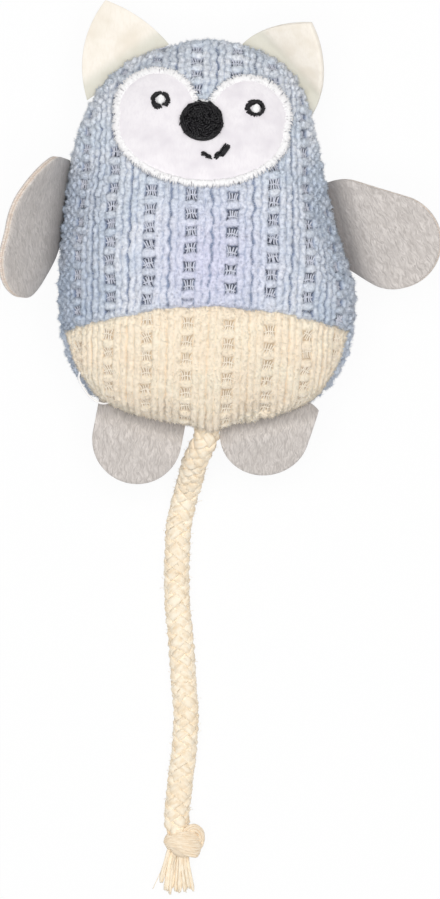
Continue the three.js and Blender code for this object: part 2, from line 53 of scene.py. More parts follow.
print("frame loaded with", len(frame["nodes"]), "nodes")


# stage: camera straight above, one wide soft box, an even sky, a white floor

stageLook = {
    "eye": (3.25, -49.4, 1580.3),  # mm
    "lens": 250,
    "sensor": 36,
    "boxPower": 30.5,
    "boxSize": 1.6,
    "boxHeight": 1.9,
    "sky": 0.36,
    "floorSide": 3.0,
    "floorLevel": -0.0003,  # a hair under the toy
    "floorTone": 0.9,
    "floorPlain": 0.93,  # share of the floor that is plain white to the eye, the rest takes the shadow
}


def makeCamera():
    data = bpy.data.cameras.new("camera")
    data.lens = stageLook["lens"]
    data.sensor_fit = "AUTO"
    data.sensor_width = stageLook["sensor"]
    data.clip_start = 0.05
    data.clip_end = 20
    camera = bpy.data.objects.new("camera", data)
    camera.location = [value * mm for value in stageLook["eye"]]
    bpy.context.scene.collection.objects.link(camera)
    bpy.context.scene.camera = camera


def addNode(tree, kind, values=None, **settings):
    node = tree.nodes.new("ShaderNode" + kind)
    for key, value in settings.items():
        setattr(node, key, value)
    for key, value in (values or {}).items():
        node.inputs[key].default_value = value
    return node


def seenRays(tree):
    # 1 where the eye looks straight at a surface, in a reflection or through glass
    path = addNode(tree, "LightPath")
    seen = addNode(tree, "Math", operation="ADD")
    seenAll = addNode(tree, "Math", operation="ADD", use_clamp=True)
    tree.links.new(path.outputs["Is Camera Ray"], seen.inputs[0])
    tree.links.new(path.outputs["Is Glossy Ray"], seen.inputs[1])
    tree.links.new(seen.outputs[0], seenAll.inputs[0])
    tree.links.new(path.outputs["Is Transmission Ray"], seenAll.inputs[1])
    return seenAll.outputs[0]


def makeLights():
    data = bpy.data.lights.new("soft_box", "AREA")
    data.energy = stageLook["boxPower"]
    data.size = stageLook["boxSize"]
    lamp = bpy.data.objects.new("soft_box", data)
    lamp.location = (0, 0, stageLook["boxHeight"])
    bpy.context.scene.collection.objects.link(lamp)
    world = bpy.data.worlds.new("even_sky")
    world.use_nodes = True
    bpy.context.scene.world = world
    tree = world.node_tree
    tree.nodes.clear()
    light = addNode(tree, "Background", {"Color": (1, 1, 1, 1), "Strength": stageLook["sky"]})
    paper = addNode(tree, "Background", {"Color": (1, 1, 1, 1), "Strength": 1.0})
    both = addNode(tree, "MixShader")
    out = addNode(tree, "OutputWorld")
    tree.links.new(seenRays(tree), both.inputs["Fac"])
    tree.links.new(light.outputs[0], both.inputs[1])
    tree.links.new(paper.outputs[0], both.inputs[2])
    tree.links.new(both.outputs[0], out.inputs["Surface"])


def makeFloor():
    side = stageLook["floorSide"]
    grey = stageLook["floorTone"]
    mesh = bpy.data.meshes.new("floor")
    level = stageLook["floorLevel"]
    corners = [(-side, -side, level), (side, -side, level), (side, side, level), (-side, side, level)]
    mesh.from_pydata(corners, [], [(0, 1, 2, 3)])
    floor = bpy.data.objects.new("floor", mesh)
    bpy.context.scene.collection.objects.link(floor)
    material = bpy.data.materials.new("floor_white")
    material.use_nodes = True
    tree = material.node_tree
    tree.nodes.clear()
    share = addNode(tree, "Math", {1: stageLook["floorPlain"]}, operation="MULTIPLY")
    paper = addNode(tree, "BsdfDiffuse", {"Color": (grey, grey, grey, 1)})
    plain = addNode(tree, "Emission", {"Color": (1, 1, 1, 1), "Strength": 1.0})
    both = addNode(tree, "MixShader")
    out = addNode(tree, "OutputMaterial")
    tree.links.new(seenRays(tree), share.inputs[0])
    tree.links.new(share.outputs[0], both.inputs["Fac"])
    tree.links.new(paper.outputs[0], both.inputs[1])
    tree.links.new(plain.outputs[0], both.inputs[2])
    tree.links.new(both.outputs[0], out.inputs["Surface"])
    mesh.materials.append(material)


makeCamera()
makeLights()
makeFloor()
bpy.context.scene.view_settings.view_transform = "Standard"
print("stage ready")


# small tools for grids, noise and meshes; points are in millimetres until they go into a mesh

def signedPower(value, power):
    return np.sign(value) * np.abs(value) ** power


def ease(value, low, high):
    # smooth step from 0 at low to 1 at high
    share = np.clip((value - low) / (high - low), 0, 1)
    return share * share * (3 - 2 * share)


def unit(vectors):
    return vectors / np.maximum(np.linalg.norm(vectors, axis=-1, keepdims=True), 1e-9)


def softNoise(x, y, seed):
    # random lattice values joined by smooth steps, from -1 to 1
    lattice = np.random.default_rng(seed).uniform(-1, 1, (97, 89))
    x, y = np.broadcast_arrays(x, y)
    i = np.floor(x).astype(int)
    j = np.floor(y).astype(int)
    u = x - i
    v = y - j
    u = u * u * (3 - 2 * u)
    v = v * v * (3 - 2 * v)
    low = lattice[i % 97, j % 89] * (1 - u) + lattice[(i + 1) % 97, j % 89] * u
    high = lattice[i % 97, (j + 1) % 89] * (1 - u) + lattice[(i + 1) % 97, (j + 1) % 89] * u
    return low * (1 - v) + high * v


def lookUp(table, row, column):
    # value between the four nearest entries of a table
    i = np.clip(np.floor(row).astype(int), 0, table.shape[0] - 2)
    j = np.clip(np.floor(column).astype(int), 0, table.shape[1] - 2)
    u = row - i
    v = column - j
    if table.ndim == 3:
        u = u[..., None]
        v = v[..., None]
    low = table[i, j] * (1 - u) + table[i + 1, j] * u
    high = table[i, j + 1] * (1 - u) + table[i + 1, j + 1] * u
    return low * (1 - v) + high * v


def gridFaces(rows, columns, start=0, ring=False):
    # four corners of each cell, turning left about the outward side
    i = np.arange(rows - 1)[:, None]
    j = np.arange(columns if ring else columns - 1)[None, :]
    k = (j + 1) % columns
    corners = [i * columns + j, i * columns + k, (i + 1) * columns + k, (i + 1) * columns + j]
    return start + np.stack(np.broadcast_arrays(*corners), -1).reshape(-1, 4)


def makePiece(name, points, faceSets, material, marks=None):
    # one mesh from points and arrays of faces with equal corner counts; marks are values at its points
    mesh = bpy.data.meshes.new(name)
    faceSets = [faces for faces in faceSets if len(faces)]
    corners = np.concatenate([faces.ravel() for faces in faceSets]).astype(np.int32)
    sizes = np.concatenate([np.full(len(faces), faces.shape[1]) for faces in faceSets])
    starts = np.concatenate([[0], np.cumsum(sizes)[:-1]]).astype(np.int32)
    mesh.vertices.add(len(points))
    mesh.vertices.foreach_set("co", (points * mm).astype(np.float32).ravel())
    mesh.loops.add(len(corners))
    mesh.loops.foreach_set("vertex_index", corners)
    mesh.polygons.add(len(sizes))
    mesh.polygons.foreach_set("loop_start", starts)
    mesh.update(calc_edges=True)
    mesh.validate()
    mesh.shade_smooth()
    for key, values in (marks or {}).items():
        kind, field = ("FLOAT", "value") if values.ndim == 1 else ("FLOAT_VECTOR", "vector")
        attribute = mesh.attributes.new(key, kind, "POINT")
        attribute.data.foreach_set(field, values.astype(np.float32).ravel())
    mesh.materials.append(material)
    piece = bpy.data.objects.new(name, mesh)
    bpy.context.scene.collection.objects.link(piece)
    return piece


def place(piece, body, slotName, *nodes):
    if body:
        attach(piece, body)
    if nodes:
        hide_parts(*nodes)
    return piece


def evenPath(points, count):
    # smooth curve through the points (each stretch a cubic with neighbour slopes), then even steps along it
    points = np.asarray(points, float)
    ends = np.vstack([2 * points[0] - points[1], points, 2 * points[-1] - points[-2]])
    t = np.linspace(0, 1, 24, endpoint=False)[None, :, None]
    a, b, c, d = (ends[k:len(ends) - 3 + k][:, None, :] for k in range(4))
    curve = 0.5 * (
        2 * b + (c - a) * t + (2 * a - 5 * b + 4 * c - d) * t**2 + (3 * b - a - 3 * c + d) * t**3
    )
    curve = np.vstack([curve.reshape(-1, 3), points[-1]])
    length = np.concatenate([[0], np.cumsum(np.linalg.norm(np.diff(curve, axis=0), axis=1))])
    steps = np.linspace(0, length[-1], count)
    return np.stack([np.interp(steps, length, curve[:, k]) for k in range(3)], -1), length[-1]


def evenOutline(points, count):
    # closed outline in even steps
    loop = np.vstack([points, points[:1]])
    length = np.concatenate([[0], np.cumsum(np.linalg.norm(np.diff(loop, axis=0), axis=1))])
    steps = np.linspace(0, length[-1], count, endpoint=False)
    return np.stack([np.interp(steps, length, loop[:, k]) for k in range(2)], -1)


def sweepTubes(paths, width, height, sides, facing, lobes=0, lobeDepth=0.0, lobeTurn=0.0):
    # oval profile carried along each path; height lies along facing; lobes ripple it like plied yarn
    paths = np.asarray(paths, float)
    count, steps, _ = paths.shape
    along = unit(np.gradient(paths, axis=1))
    side = unit(np.cross(along, np.broadcast_to(facing, paths.shape)))
    up = np.cross(along, side)
    angle = np.linspace(0, tau, sides, endpoint=False)
    width = np.broadcast_to(width, (count, steps))[..., None] / 2
    height = np.broadcast_to(height, (count, steps))[..., None] / 2
    turn = np.arange(steps)[None, :, None] * lobeTurn + np.arange(count)[:, None, None] * 1.7
    ripple = 1 + lobeDepth * np.cos(lobes * angle + turn)
    shiftSide = (width * ripple * np.cos(angle))[..., None] * side[:, :, None, :]
    shiftUp = (height * ripple * np.sin(angle))[..., None] * up[:, :, None, :]
    points = (paths[:, :, None, :] + shiftSide + shiftUp).reshape(-1, 3)
    one = gridFaces(steps, sides, ring=True)
    block = steps * sides
    starts = (np.arange(count) * block)[:, None, None]
    quads = (one[None] + starts).reshape(-1, 4)
    first = np.arange(sides)[::-1]
    last = np.arange(sides) + block - sides
    caps = (np.stack([first, last])[None] + starts).reshape(-1, sides)
    return points, [quads, caps]


def tubeMarks(paths, sides):
    # distance along each tube and its number, at every point of sweepTubes
    steps = np.linalg.norm(np.diff(paths, axis=1), axis=-1)
    length = np.concatenate([np.zeros((len(paths), 1)), np.cumsum(steps, axis=1)], axis=1)
    length = np.repeat(length[..., None], sides, axis=2).ravel()
    number = np.repeat(np.arange(len(paths)), paths.shape[1] * sides)
    roundIt = np.tile(np.arange(sides) / sides, paths.shape[0] * paths.shape[1])
    return np.stack([length, number * 3.7, roundIt], -1)


# materials

def tone(red, green, blue):
    # screen colour from 0 to 255 as linear light
    values = np.array([red, green, blue]) / 255
    linear = np.where(values <= 0.04045, values / 12.92, ((values + 0.055) / 1.055) ** 2.4)
    return (float(linear[0]), float(linear[1]), float(linear[2]), 1.0)


def startMaterial(name, roughness, sheen):
    material = bpy.data.materials.new(name)
    material.use_nodes = True
    shader = material.node_tree.nodes["Principled BSDF"]
    shader.inputs["Roughness"].default_value = roughness
    shader.inputs["Specular IOR Level"].default_value = 0.2
    shader.inputs["Sheen Weight"].default_value = sheen
    shader.inputs["Sheen Roughness"].default_value = 0.5
    return material, material.node_tree, shader


def noiseOf(tree, vector, scale, detail=2.0, twist=0.0):
    values = {"Scale": scale, "Detail": detail, "Roughness": 0.55, "Distortion": twist}
    node = addNode(tree, "TexNoise", values)
    tree.links.new(vector, node.inputs["Vector"])
    return node.outputs["Fac"]


def spanOf(tree, value, low, high, toLow=0.0, toHigh=1.0):
    settings = {"From Min": low, "From Max": high, "To Min": toLow, "To Max": toHigh}
    node = addNode(tree, "MapRange", settings)
    tree.links.new(value, node.inputs["Value"])
    return node.outputs["Result"]


def blendColour(tree, share, first, second, mode="MIX"):
    node = addNode(tree, "Mix", data_type="RGBA", blend_type=mode)
    for index, value in ((0, share), (6, first), (7, second)):
        if isinstance(value, bpy.types.NodeSocket):
            tree.links.new(value, node.inputs[index])
        else:
            node.inputs[index].default_value = value
    return node.outputs[2]


def addBump(tree, shader, height, distance, strength=1.0):
    node = addNode(tree, "Bump", {"Strength": strength, "Distance": distance})
    tree.links.new(height, node.inputs["Height"])
    tree.links.new(node.outputs["Normal"], shader.inputs["Normal"])


def markOf(tree, name, output="Fac"):
    return addNode(tree, "Attribute", attribute_name=name).outputs[output]


def stretched(tree, vector, scale):
    node = addNode(tree, "Mapping", {"Scale": scale})
    tree.links.new(vector, node.inputs["Vector"])
    return node.outputs["Vector"]


# colours of the knit: ridge, cool and chest are the yarn's own tones; the groove colour is painted shade in
# the grooves, the base colour is painted shade in the openings, and the flank colour is painted shade low
# on the sides (white, so none, on the cream)
knitBlue = {
    "ridge": tone(246, 248, 252),
    "cool": tone(226, 234, 243),
    "chest": tone(232, 232, 250),
    "paintedGrooveShade": tone(146, 158, 182),
    "base": tone(92, 96, 112),
    "paintedFlankShade": tone(186, 198, 214),
    "sheen": 0.25,
}
knitCream = {
    "ridge": tone(255, 246, 226),
    "cool": tone(255, 241, 219),
    "chest": tone(255, 241, 219),
    "paintedGrooveShade": tone(255, 235, 207),
    "base": tone(206, 184, 154),
    "paintedFlankShade": tone(255, 255, 255),
    "sheen": 0.9,
}


def knitMaterial(name, look):
    # pile colour by how high the tuft stands, with painted shade where it is low, dyed in soft blotches;
    # the base colour is painted shade in the openings, and painted shade darkens the lower sides
    material, tree, shader = startMaterial(name, 0.95, look["sheen"])
    spot = addNode(tree, "TexCoord").outputs["Object"]
    tuft = markOf(tree, "tuft")
    blotch = spanOf(tree, noiseOf(tree, spot, 120, 3), 0.38, 0.62)
    fibre = noiseOf(tree, spot, 1700, 3)
    pile = blendColour(tree, blotch, look["ridge"], look["cool"])
    patch = noiseOf(tree, stretched(tree, spot, (1.0, 0.6, 1.0)), 430, 2)
    pile = blendColour(tree, spanOf(tree, patch, 0.42, 0.66, 0.0, 0.5), pile, look["cool"])
    pile = blendColour(tree, markOf(tree, "chest"), pile, look["chest"])
    # painted shade: where the tuft is low, in the grooves, the pile takes the groove shade colour; fine
    # fibre speckles mix towards it too
    pile = blendColour(tree, spanOf(tree, tuft, 0.62, 0.05), pile, look["paintedGrooveShade"])
    pile = blendColour(tree, spanOf(tree, fibre, 0.38, 0.68, 0.0, 0.34), pile, look["paintedGrooveShade"])
    # painted shade: the floor of each opening takes the dark base colour
    pile = blendColour(tree, markOf(tree, "gap"), pile, look["base"])
    # painted shade low on the sides
    pile = blendColour(tree, markOf(tree, "paintedFlankShade"), pile, look["paintedFlankShade"], "MULTIPLY")
    tree.links.new(pile, shader.inputs["Base Color"])
    addBump(tree, shader, fibre, 0.0004, 0.7)
    return material


def yarnMaterial(name, pale, deep, roughness=0.85, sheen=0.15, fine=1.0, gloss=0.2):
    # plied yarn: fine streaks along the thread, deeper between the plies
    material, tree, shader = startMaterial(name, roughness, sheen)
    shader.inputs["Specular IOR Level"].default_value = gloss
    yarn = markOf(tree, "yarn", "Vector")
    streak = noiseOf(tree, stretched(tree, yarn, (0.7 * fine, 1.0, 9.0)), 1.0, 3)
    spot = addNode(tree, "TexCoord").outputs["Object"]
    blotch = noiseOf(tree, spot, 240, 2)
    colour = blendColour(tree, spanOf(tree, streak, 0.4, 0.75), pale, deep)
    colour = blendColour(tree, spanOf(tree, blotch, 0.45, 0.75, 0.0, 0.4), colour, deep)
    tree.links.new(colour, shader.inputs["Base Color"])
    addBump(tree, shader, streak, 0.0001, 0.5)
    return material


def feltMaterial(name, pale, deep):
    # pressed fibres: fine tangled noise with faint clouds, and a grey-green painted shade near a seam
    material, tree, shader = startMaterial(name, 0.95, 0.3)
    spot = addNode(tree, "TexCoord").outputs["Object"]
    fibre = noiseOf(tree, stretched(tree, spot, (1.0, 0.35, 1.0)), 1900, 4)
    cloud = noiseOf(tree, spot, 160, 2)
    colour = blendColour(tree, spanOf(tree, cloud, 0.4, 0.7), pale, deep)
    colour = blendColour(tree, spanOf(tree, fibre, 0.45, 0.75, 0.0, 0.5), colour, deep)
    # painted shade near the seam
    colour = blendColour(tree, markOf(tree, "paintedSeamShade"), colour, tone(200, 201, 186))
    tree.links.new(colour, shader.inputs["Base Color"])
    addBump(tree, shader, fibre, 0.00012, 0.5)
    return material


def plushMaterial(name, pale, deep, cut):
    # short strokes of pile along the cloth, painted shade near the seam, and backing on the cut edge
    material, tree, shader = startMaterial(name, 0.95, 0.3)
    pile = markOf(tree, "pile", "Vector")
    stroke = noiseOf(tree, stretched(tree, pile, (2.2, 0.5, 1.0)), 1.0, 3, 1.1)
    lay = noiseOf(tree, stretched(tree, pile, (0.3, 0.2, 1.0)), 1.0, 2)
    colour = blendColour(tree, spanOf(tree, stroke, 0.35, 0.65), deep, pale)
    colour = blendColour(tree, spanOf(tree, lay, 0.4, 0.7, 0.0, 0.3), colour, deep)
    weave = noiseOf(tree, stretched(tree, pile, (3.0, 3.0, 1.0)), 1.0, 1)
    backing = blendColour(tree, spanOf(tree, weave, 0.35, 0.65), cut, tone(240, 230, 220))
    colour = blendColour(tree, markOf(tree, "cut"), colour, backing)
    # painted shade near the seam
    colour = blendColour(tree, markOf(tree, "paintedSeamShade"), colour, tone(112, 108, 108))
    tree.links.new(colour, shader.inputs["Base Color"])
    addBump(tree, shader, stroke, 0.0004, 0.8)
    return material


blueKnit = knitMaterial("blue_chenille", knitBlue)
creamKnit = knitMaterial("cream_chenille", knitCream)
ropeCotton = yarnMaterial("cotton_rope", tone(255, 244, 224), tone(240, 217, 184))
knotCotton = yarnMaterial("cotton_knot", tone(250, 235, 212), tone(232, 207, 174))
whiteThread = yarnMaterial("white_thread", tone(255, 255, 255), tone(244, 241, 242), 0.5, 0.3, 3.0)
blackThread = yarnMaterial("black_thread", tone(6, 6, 8), tone(28, 25, 30), 0.35, 0.0, 3.0, 0.25)
meshBlue = yarnMaterial("mesh_blue", tone(224, 226, 236), tone(186, 190, 204), 0.7, 0.1, 3.0)
meshCream = yarnMaterial("mesh_cream", tone(255, 247, 232), tone(246, 231, 210), 0.7, 0.1, 3.0)
whiteFelt = feltMaterial("white_felt", tone(250, 243, 232), tone(238, 229, 214))
whiteFleece = feltMaterial("white_fleece", tone(245, 241, 244), tone(231, 226, 231))
greyPlush = plushMaterial("grey_plush", tone(226, 219, 214), tone(190, 183, 178), tone(222, 202, 186))
print("materials ready")


# tail: an eight-strand braid along the route, an overhand knot of the same cord, and its frayed yarns

tailShape = {
    "fold": (-0.2256, -46.3, 19.5),
    "lying": 3.3,  # height of the centreline where it lies on the surface
    "route": [
        [0, 0, 0], [-1.8, -3.8, 0.22], [-3.2, -7.4, 0.5], [-4.2, -11.4, 0.79], [-5.7, -16.5, 0.96],
        [-6.9, -22.3, 1], [-7.3, -28.6, 1], [-7.5, -36.2, 1], [-7.1, -44.2, 1], [-6.3, -52.6, 1],
        [-5.7, -61.4, 1], [-5.1, -69.5, 1], [-5.4, -76.6, 1], [-6.1, -83.6, 1], [-7, -90.7, 1],
        [-7.4, -97.8, 1],
    ],
    "inside": (0.4, 4.6, 0.3),  # the rope's first end, caught in the seam
    "knotEnd": (0.9, -2.6, 0.5),  # last step, into the knot
    "steps": 250,
    "diameter": 6.0,
    "strandsEachWay": 4,
    "lay": 13.6,  # one turn of a strand
    "middle": 2.1,  # strand centres from the centreline
    "weave": 0.42,  # over and under
    "strandWidth": 2.8,
    "strandHeight": 1.7,
    "strandSides": 14,
    "pinch": 0.3,  # share by which the braid narrows into the knot, and over what length
    "pinchLength": 4,
    "hairs": 1500,
    "hairLength": (0.6, 1.5),
    "hairWidth": 0.1,
}


def ropeFrame(line):
    # side and up of a nearly level line
    along = unit(np.gradient(line, axis=0))
    side = unit(np.cross(along, np.array([0.0, 0.0, 1.0])))
    return side, np.cross(side, along)


def braidPaths(line, shape):
    # strands wind both ways; their distance from the middle swings so that each goes over and under in turn
    side, up = ropeFrame(line)
    steps = np.concatenate([[0], np.cumsum(np.linalg.norm(np.diff(line, axis=0), axis=1))])
    turn = tau * steps / shape["lay"]
    each = shape["strandsEachWay"]
    start = tau * np.arange(each)[:, None] / each
    angles = np.concatenate([start + turn, start - turn + math.pi / 4])
    swing = np.repeat(shape["weave"] * np.cos(each * turn - math.pi / 2)[None], each, 0)
    squeeze = 1 - shape["pinch"] * ease(steps, steps[-1] - shape["pinchLength"], steps[-1])
    reach = shape["middle"] * squeeze + np.concatenate([swing, -swing])
    outward = np.cos(angles)[..., None] * side + np.sin(angles)[..., None] * up
    return line + reach[..., None] * outward, outward


def makeTail():
    # the braid along the route, and short fibres that stand off its strands
    shape = tailShape
    sides = shape["strandSides"]
    fold = np.array(shape["fold"])
    route = np.array(shape["route"], float)
    drop = shape["lying"] - fold[2]
    points = fold + np.stack([route[:, 0], route[:, 1], drop * route[:, 2]], -1)
    inside = fold + np.array(shape["inside"])
    last = points[-1] + np.array(shape["knotEnd"])
    line, length = evenPath(np.vstack([inside, points, last]), shape["steps"])
    paths, outward = braidPaths(line, shape)
    strands, steps = paths.shape[:2]
    loose = 1 + 0.12 * softNoise(np.arange(steps)[None, :] / 9, np.arange(strands)[:, None] * 3.3, 5)
    verts, faces = sweepTubes(
        paths, shape["strandWidth"] * loose, shape["strandHeight"] * loose, sides, outward, 4, 0.2, 0.35
    )
    marks = tubeMarks(paths, sides)
    random = np.random.default_rng(19)
    count = shape["hairs"]
    strand = random.integers(0, strands, count)
    step = random.integers(14, steps - 14, count)
    root = paths[strand, step]
    heading = unit(0.5 * outward[strand, step] + random.normal(0, 0.7, (count, 3)))
    bend = unit(random.normal(0, 1, (count, 3)))
    t = np.linspace(0, 1, 5)[None, :, None]
    reach = random.uniform(*shape["hairLength"], (count, 1, 1))
    foot = root + 0.35 * outward[strand, step]
    hairs = foot[:, None] + reach * (t * heading[:, None] + 0.35 * t**2 * bend[:, None])
    hairVerts, hairFaces = sweepTubes(hairs, shape["hairWidth"], shape["hairWidth"], 3, (0.2, 0.3, 1.0))
    points = np.vstack([verts, hairVerts])
    points[:, 2] = np.maximum(points[:, 2], 0.05)
    faces = faces + [group + len(verts) for group in hairFaces]
    rope = makePiece("rope", points, faces, ropeCotton, {"yarn": np.vstack([marks, tubeMarks(hairs, 3)])})
    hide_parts("tail_rope")
    return rope, line, length


knotShape = {
    "centre": (-6.03, -147.5, 4.3),
    # one wrapping yarn from the pinch at the left, over the front, round the right and behind:
    # x, then y and its spread over the yarns, then z
    "wrap": [
        (-2.2, -0.8, 1.5, -2.3), (-4.4, -0.7, 1.7, -0.5), (-4.1, -0.9, 1.5, 1.0), (-1.8, -1.0, 2.1, 2.5),
        (1.4, -1.3, 2.7, 2.7), (3.7, -1.5, 3.0, 1.3), (4.2, -1.4, 2.9, -0.6), (2.2, -1.2, 2.3, -2.4),
        (-0.6, -1.0, 1.8, -2.6),
    ],
    "yarns": 11,
    "yarnWidth": 0.85,
    # the turned bight that stands up at the right
    "bight": [
        (0.4, 0.6, 0.2), (1.2, 2.1, 0.9), (2.7, 2.6, 0.9), (4.1, 1.6, 0.5), (4.4, -0.3, -0.2),
        (3.6, -2.2, -0.9), (1.8, -3.0, -1.2),
    ],
    "bightYarns": 6,
    "bightHalf": 0.72,
    "bightTwist": 2.2,
    "steps": 60,
    "sides": 9,
    "core": (3.6, 3.6, 2.7),
    "coreShift": (0.0, -1.3, 0.0),
    "coreRows": 20,
    "coreColumns": 40,
}


def makeKnot():
    # yarns fan over a core from the pinch at the left; a bight of the same yarns turns over at the right
    shape = knotShape
    steps = shape["steps"]
    sides = shape["sides"]
    centre = np.array(shape["centre"])
    random = np.random.default_rng(23)
    wrap = np.array(shape["wrap"])
    paths = []
    for row in np.linspace(-1, 1, shape["yarns"]):
        x = wrap[:, 0] - 0.8 * row**2 * np.sign(wrap[:, 0])
        points = np.stack([x, wrap[:, 1] + wrap[:, 2] * row, wrap[:, 3] * (1 - 0.22 * row**2)], -1)
        paths.append(evenPath(points + centre + random.normal(0, 0.05, points.shape), steps)[0])
    bight, _ = evenPath(np.array(shape["bight"]) + centre, steps)
    along = unit(np.gradient(bight, axis=0))
    side = unit(np.cross(along, np.array([0.1, 0.1, 1.0])))
    up = np.cross(side, along)
    twist = np.linspace(0, shape["bightTwist"], steps)[:, None]
    for angle in tau * np.arange(shape["bightYarns"]) / shape["bightYarns"]:
        off = np.cos(angle + twist) * side + np.sin(angle + twist) * up
        paths.append(bight + shape["bightHalf"] * off)
    paths = np.array(paths)
    facing = unit(paths - centre)
    width = shape["yarnWidth"]
    verts, faces = sweepTubes(paths, width, width * 0.9, sides, facing, 3, 0.1, 0.5)
    marks = tubeMarks(paths, sides)
    # core that the yarns lie on
    rows = shape["coreRows"]
    columns = shape["coreColumns"]
    v = np.linspace(0.06, math.pi - 0.06, rows)[:, None]
    u = np.linspace(0, tau, columns, endpoint=False)
    ball = np.stack(np.broadcast_arrays(np.sin(v) * np.cos(u), np.sin(v) * np.sin(u), -np.cos(v)), -1)
    ball = centre + np.array(shape["coreShift"]) + ball * np.array(shape["core"])
    start = len(verts)
    top = start + (rows - 1) * columns
    poles = [start + np.arange(columns)[::-1][None, :], top + np.arange(columns)[None, :]]
    points = np.vstack([verts, ball.reshape(-1, 3)])
    points[:, 2] = np.maximum(points[:, 2], 0.1)
    faces = faces + [gridFaces(rows, columns, start, ring=True)] + poles
    marks = np.vstack([marks, np.zeros((rows * columns, 3))])
    knot = makePiece("knot", points, faces, knotCotton, {"yarn": marks})
    return place(knot, "tail", "cotton_rope", "tail_knot")


fringeShape = {
    "top": (-7.3, -150.6, 3.4),
    "bundles": 10,
    "perBundle": 4,
    "length": 12.2,
    "spread": 3.9,
    "lean": -0.5,
    "width": 0.75,
    "steps": 24,
    "sides": 8,
    "strays": 9,
    "strayWidth": 0.22,
    "straySides": 5,
}


def makeFringe():
    # bundles of yarns leave the knot together, fan out and settle onto the surface, each with its own wave
    shape = fringeShape
    random = np.random.default_rng(21)
    count = shape["bundles"]
    each = shape["perBundle"]
    along = np.linspace(0, 1, shape["steps"])
    t = along[None, None, :]
    across = (np.linspace(-1, 1, count) + random.uniform(-0.06, 0.06, count))[:, None, None]
    level = (random.permutation(np.linspace(-1, 1, count)) * 0.6)[:, None, None]
    reach = (shape["length"] * random.uniform(0.88, 1.0, count))[:, None, None]
    reach[0] = reach[0] * 0.78
    wave = 0.3 * np.sin(t * 3.4 + random.uniform(0, tau, (count, 1, 1))) * t
    own = random.normal(0, 0.24, (count, each, 1))
    ownLevel = random.normal(0, 0.28, (count, each, 1))
    x = shape["top"][0] + across * (1.5 + (shape["spread"] - 1.5) * t**0.9) + shape["lean"] * t + wave
    x = x + own * (0.7 + 0.7 * t)
    y = shape["top"][1] + 2.6 - (reach + 2.0) * t * random.uniform(0.93, 1.0, (count, each, 1))
    z = shape["top"][2] + (level + ownLevel) * (1.1 - 0.3 * t) - 1.5 * t
    paths = np.stack(np.broadcast_arrays(x, y, z), -1).reshape(-1, shape["steps"], 3)
    taper = 1 - 0.45 * ease(along, 0.9, 1.0)
    width = shape["width"] * (1 + 0.2 * along) * taper * random.uniform(0.85, 1.15, (count * each, 1))
    verts, faces = sweepTubes(paths, width, width * 0.85, shape["sides"], (0.0, 0.0, 1.0), 3, 0.12, 0.5)
    marks = tubeMarks(paths, shape["sides"])
    # single fibres that stray from the bundle
    t = t[0]
    strays = shape["strays"]
    side = random.uniform(-1, 1, (strays, 1))
    side[0] = -1.35
    bend = random.uniform(0.9, 1.4, (strays, 1))
    x = shape["top"][0] + side * (1.4 + 3.0 * t**bend) + shape["lean"] * t
    y = shape["top"][1] - 0.5 - 0.85 * shape["length"] * random.uniform(0.75, 1.05, (strays, 1)) * t
    z = shape["top"][2] + random.uniform(-0.8, 1.2, (strays, 1)) * (1 - t) - 2.0 * t
    hairs = np.stack(np.broadcast_arrays(x, y, z), -1)
    width = shape["strayWidth"]
    hairVerts, hairFaces = sweepTubes(hairs, width, width, shape["straySides"], (0.0, 0.0, 1.0))
    points = np.vstack([verts, hairVerts])
    points[:, 2] = np.maximum(points[:, 2], 0.08)
    faces = faces + [group + len(verts) for group in hairFaces]
    marks = np.vstack([marks, tubeMarks(hairs, shape["straySides"])])
    fringe = makePiece("fringe", points, faces, ropeCotton, {"yarn": marks})
    return place(fringe, "tail", "cotton_rope", "tail_fringe")


rope, ropeLine, ropeLength = makeTail()
knot = makeKnot()
fringe = makeFringe()
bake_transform(rope)
print("tail ready, rope", round(ropeLength, 1), "mm")


# body: knit panels over one stuffed form

bodyShape = {
    "hip": 43.0,
    "head": 52.8,
    "widestAt": -9.0,
    "halfWidth": 37.4,
    "crownWidth": 26.2,
    "headLean": 2.7,
    "front": 24.0,
    "crownFront": 18.0,
    "back": 20.0,
    "crownBack": 15.0,
    "seamHeight": 19.5,
    "hipPower": 2.8,
    "crownPower": 8.0,
    "hipDome": 2.6,
    "crownDome": 3.4,
    "sectionPower": 2.2,
    "bellyTop": -14.4,
    "bellyDrop": 6.2,
    "bellyWave": 0.5,
    "seamRiseLeft": 0.27,  # how far the back panel comes round at the lower corners, as an angle
    "seamRiseRight": 0.28,
}


def sectionAt(y):
    # pear-shaped half width, sideways lean and the two swelling heights of the section at a station
    shape = bodyShape
    up = np.clip((y - shape["widestAt"]) / (shape["head"] - shape["widestAt"]), 0, 1)
    down = np.clip((shape["widestAt"] - y) / (shape["hip"] + shape["widestAt"]), 0, 1)
    headward = np.clip(y / shape["head"], 0, 1)
    hipward = np.clip(-y / shape["hip"], 0, 1)
    taper = shape["halfWidth"] + (shape["crownWidth"] - shape["halfWidth"]) * up
    taper = taper * np.sqrt(np.maximum(1 - up ** shape["crownPower"], 0))
    width = taper * np.maximum(1 - down ** shape["hipPower"], 0) ** (1 / shape["hipPower"])
    swell = np.sqrt(np.maximum(1 - headward ** shape["crownDome"], 0))
    swell = swell * np.maximum(1 - hipward ** shape["hipDome"], 0) ** (1 / shape["hipDome"])
    front = (shape["front"] + (shape["crownFront"] - shape["front"]) * headward) * swell
    back = (shape["back"] + (shape["crownBack"] - shape["back"]) * headward) * swell
    return width, -shape["headLean"] * np.sin(math.pi * up), front, back


